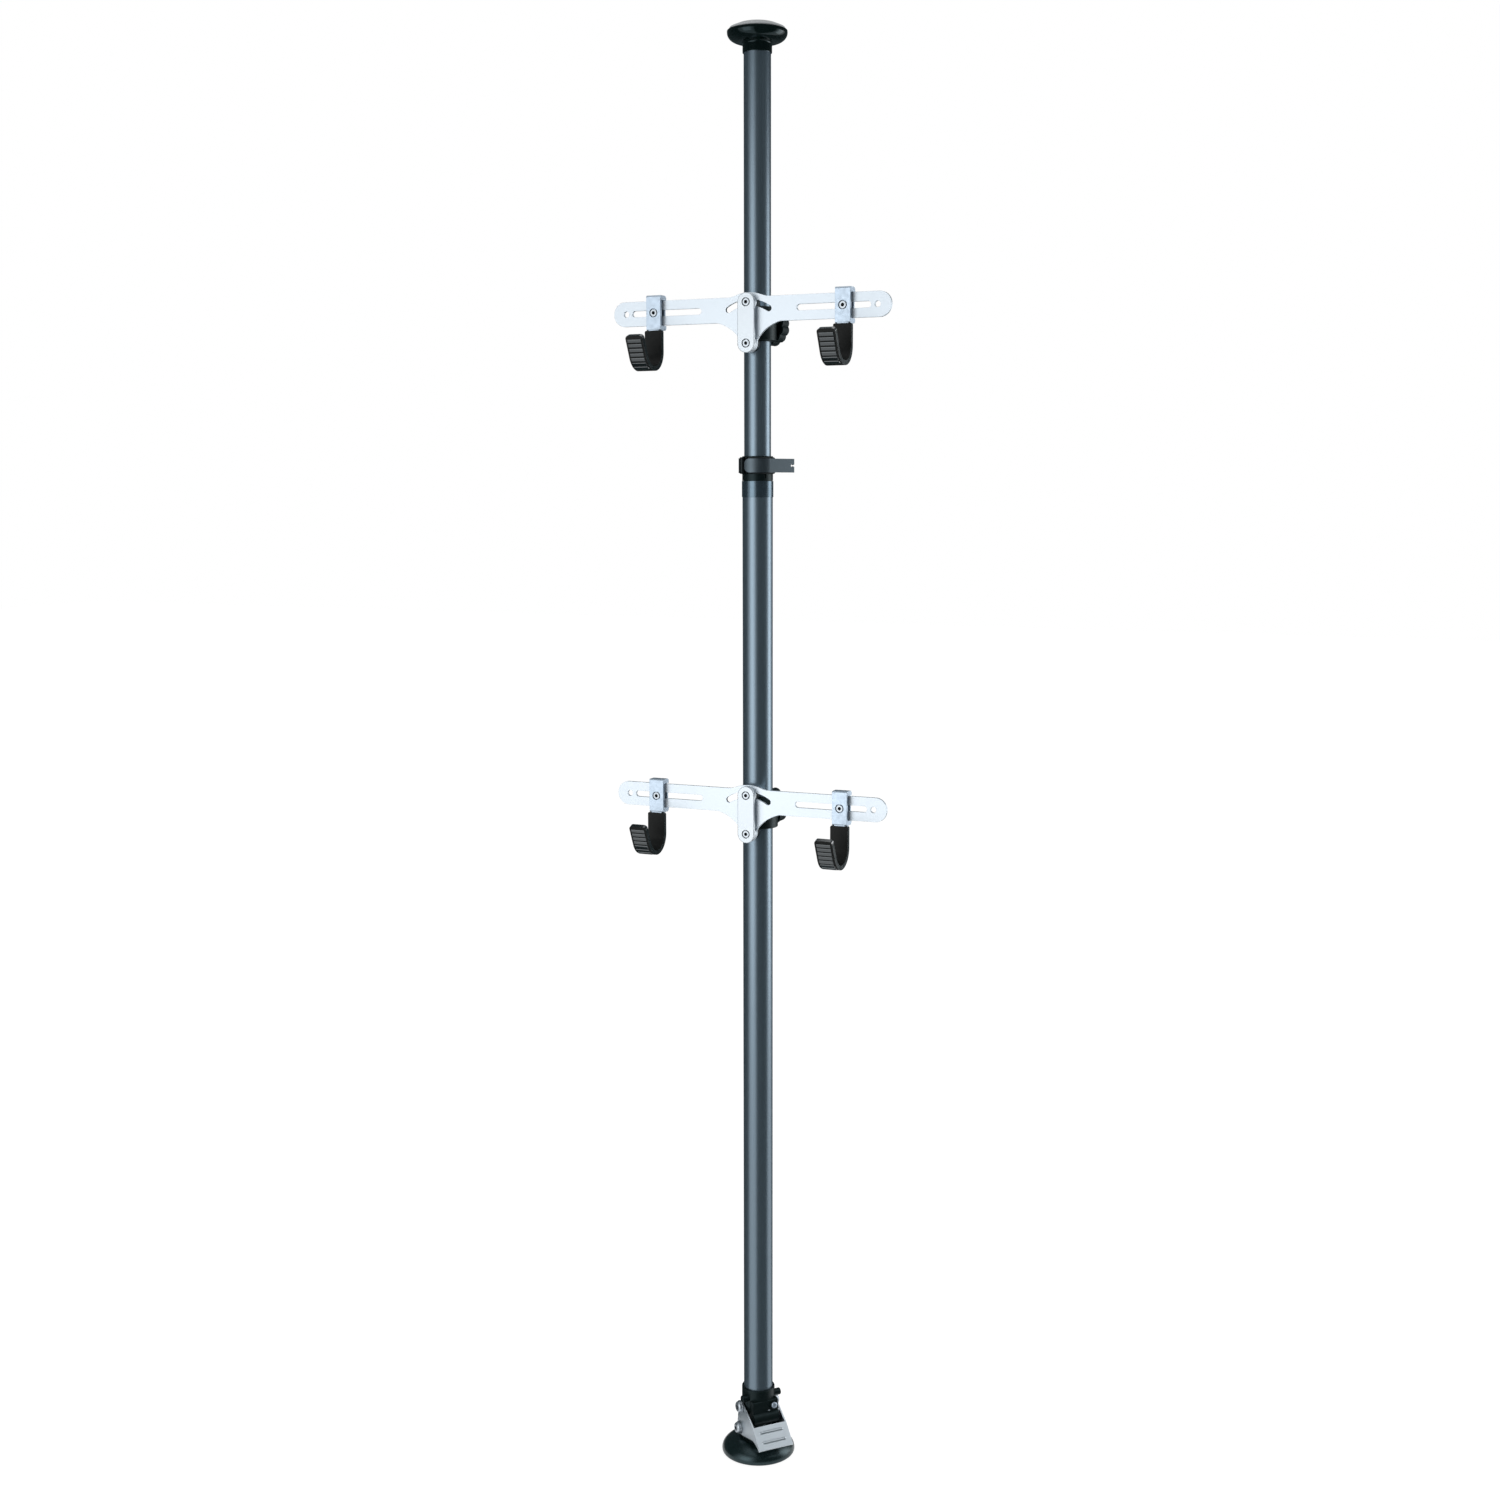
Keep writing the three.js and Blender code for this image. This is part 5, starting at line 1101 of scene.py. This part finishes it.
def finishHiddenNodes():  # CAD pieces that stay as they are
    looks = {"bush": "nylon", "guide": "nylon", "spring": "bolt", "screw": "bolt"}
    for name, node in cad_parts.items():
        for word, look in looks.items():
            if name.endswith(word):
                node.data.materials.clear()
                node.data.materials.append(finishes[look])


# The studio: a white room with a key light at the front left, a rim light behind on the right, and
# dark cards that only reflections show, as a photographer sets them round polished tubes
studio = {
    "floorSize": 40000, "floorColour": "#f4f4f4", "floorGlow": 0.84, "floorPaint": 0.3, "worldLight": 0.62,
    "lamps": {  # azimuth as in the CAD, 0 straight in front and growing to the right
        "key": {"azimuth": -18, "distance": 2600, "height": 1430, "size": (1500, 2460), "power": 20},
        "rim": {"azimuth": 126, "distance": 2600, "height": 1350, "size": (1200, 2300), "power": 21.3},
        "low": {"azimuth": 87, "distance": 1500, "height": 1750, "size": (900, 900), "power": 0.44,
                "spread": 60},
    },
    "cards": {  # each from one azimuth to another, a lintel from its own height up
        "colour": "#465458", "radius": 1700, "height": 3600, "inner": 130, "low": 1,
        "spans": [(10, 102), (150, 308)], "lintels": [(-52, 10, 2560), (102, 150, 2420)],
    },
}


def addLamp(name, lamp):
    deselectAll()
    spot = Vector((*polar(lamp["distance"], lamp["azimuth"]), lamp["height"])) * mm
    bpy.ops.object.light_add(type="AREA", location=spot)
    light = bpy.context.object
    light.name = name + "Lamp"
    light.data.shape = "RECTANGLE"
    light.data.size, light.data.size_y = (side * mm for side in lamp["size"])
    light.data.energy = lamp["power"]
    if "spread" in lamp:  # behind a grid, it lights the foot alone
        light.data.spread = math.radians(lamp["spread"])
    aim = Vector((0, 0, 0 if "spread" in lamp else lamp["height"])) * mm
    light.rotation_euler = (aim - spot).to_track_quat("-Z", "Y").to_euler()


def addCards(cards):
    material = startMaterial("darkCard", cards["colour"], 0, 0.9)
    radius, height = cards["radius"], cards["height"]
    wall = [(cards["inner"], cards["low"]), (radius, cards["low"]), (radius, height)]
    walls = [(start, end, wall) for start, end in cards["spans"]]
    lintels = [(start, end, [(radius, low), (radius, height)]) for start, end, low in cards["lintels"]]
    for start, end, profile in walls + lintels:
        across = Vector((*polar(1, start), 0))
        card = drawLine("card" + str(start), profile, across, Vector((0, 0, 1)), Vector(), False)
        bpy.ops.mesh.spin(steps=24, angle=math.radians(start - end), center=(0, 0, 0), axis=(0, 0, 1))
        closeUp()
        card.data.materials.append(material)
        card.visible_camera = card.visible_diffuse = card.visible_shadow = False


def seenDirectly(tree):  # 1 for the camera's rays, and for those that metal and glass send on
    rays = addNode(tree, "ShaderNodeLightPath")
    seen = rays.outputs["Is Camera Ray"]
    for other in ("Is Glossy Ray", "Is Transmission Ray"):
        seen = addNode(tree, "ShaderNodeMath", {"operation": "MAXIMUM"},
                       {0: seen, 1: rays.outputs[other]}).outputs[0]
    return seen


def addFloor():
    deselectAll()
    bpy.ops.mesh.primitive_plane_add(size=studio["floorSize"] * mm, location=(0, 0, 0))
    floor = bpy.context.object
    floor.name = floor.data.name = "studioFloor"
    material = startMaterial("whiteFloor", studio["floorColour"], 0, 0.9)
    tree = material.node_tree
    glow = addNode(tree, "ShaderNodeEmission", {"Color": (1, 1, 1, 1), "Strength": studio["floorGlow"]})
    paint = addNode(tree, "ShaderNodeBsdfDiffuse", {"Color": (*(studio["floorPaint"],) * 3, 1)})
    bright = addNode(tree, "ShaderNodeAddShader", None, {0: glow.outputs[0], 1: paint.outputs[0]})
    plain = tree.nodes["Principled BSDF"].outputs[0]
    choice = addNode(tree, "ShaderNodeMixShader", None,
                     {0: seenDirectly(tree), 1: plain, 2: bright.outputs[0]})
    tree.links.new(choice.outputs[0], tree.nodes["Material Output"].inputs["Surface"])
    floor.data.materials.append(material)


def addStudio():
    scene = bpy.context.scene
    scene.view_settings.view_transform = "Standard"
    world = bpy.data.worlds.new("studio")
    scene.world = world
    world.use_nodes = True
    tree = world.node_tree
    tree.nodes.clear()
    level = addNode(tree, "ShaderNodeMapRange", {"To Min": studio["worldLight"], "To Max": 1.0},
                    {"Value": seenDirectly(tree)})
    background = addNode(tree, "ShaderNodeBackground", {"Color": (1, 1, 1, 1)},
                         {"Strength": level.outputs[0]})
    addNode(tree, "ShaderNodeOutputWorld", None, {"Surface": background.outputs[0]})
    addFloor()
    addCards(studio["cards"])
    for name, lamp in studio["lamps"].items():
        addLamp(name, lamp)


addTubes()
addCeilingTop()
addHeightClamp()
addClampBand()
addQuickLever()
print("pole and height clamp modelled")
addFoot()
addPedal()
addPedalBolts()
addCollar()
print("foot, pedal and collar modelled")
addRacks()
finishHiddenNodes()
addStudio()
print("studio ready")
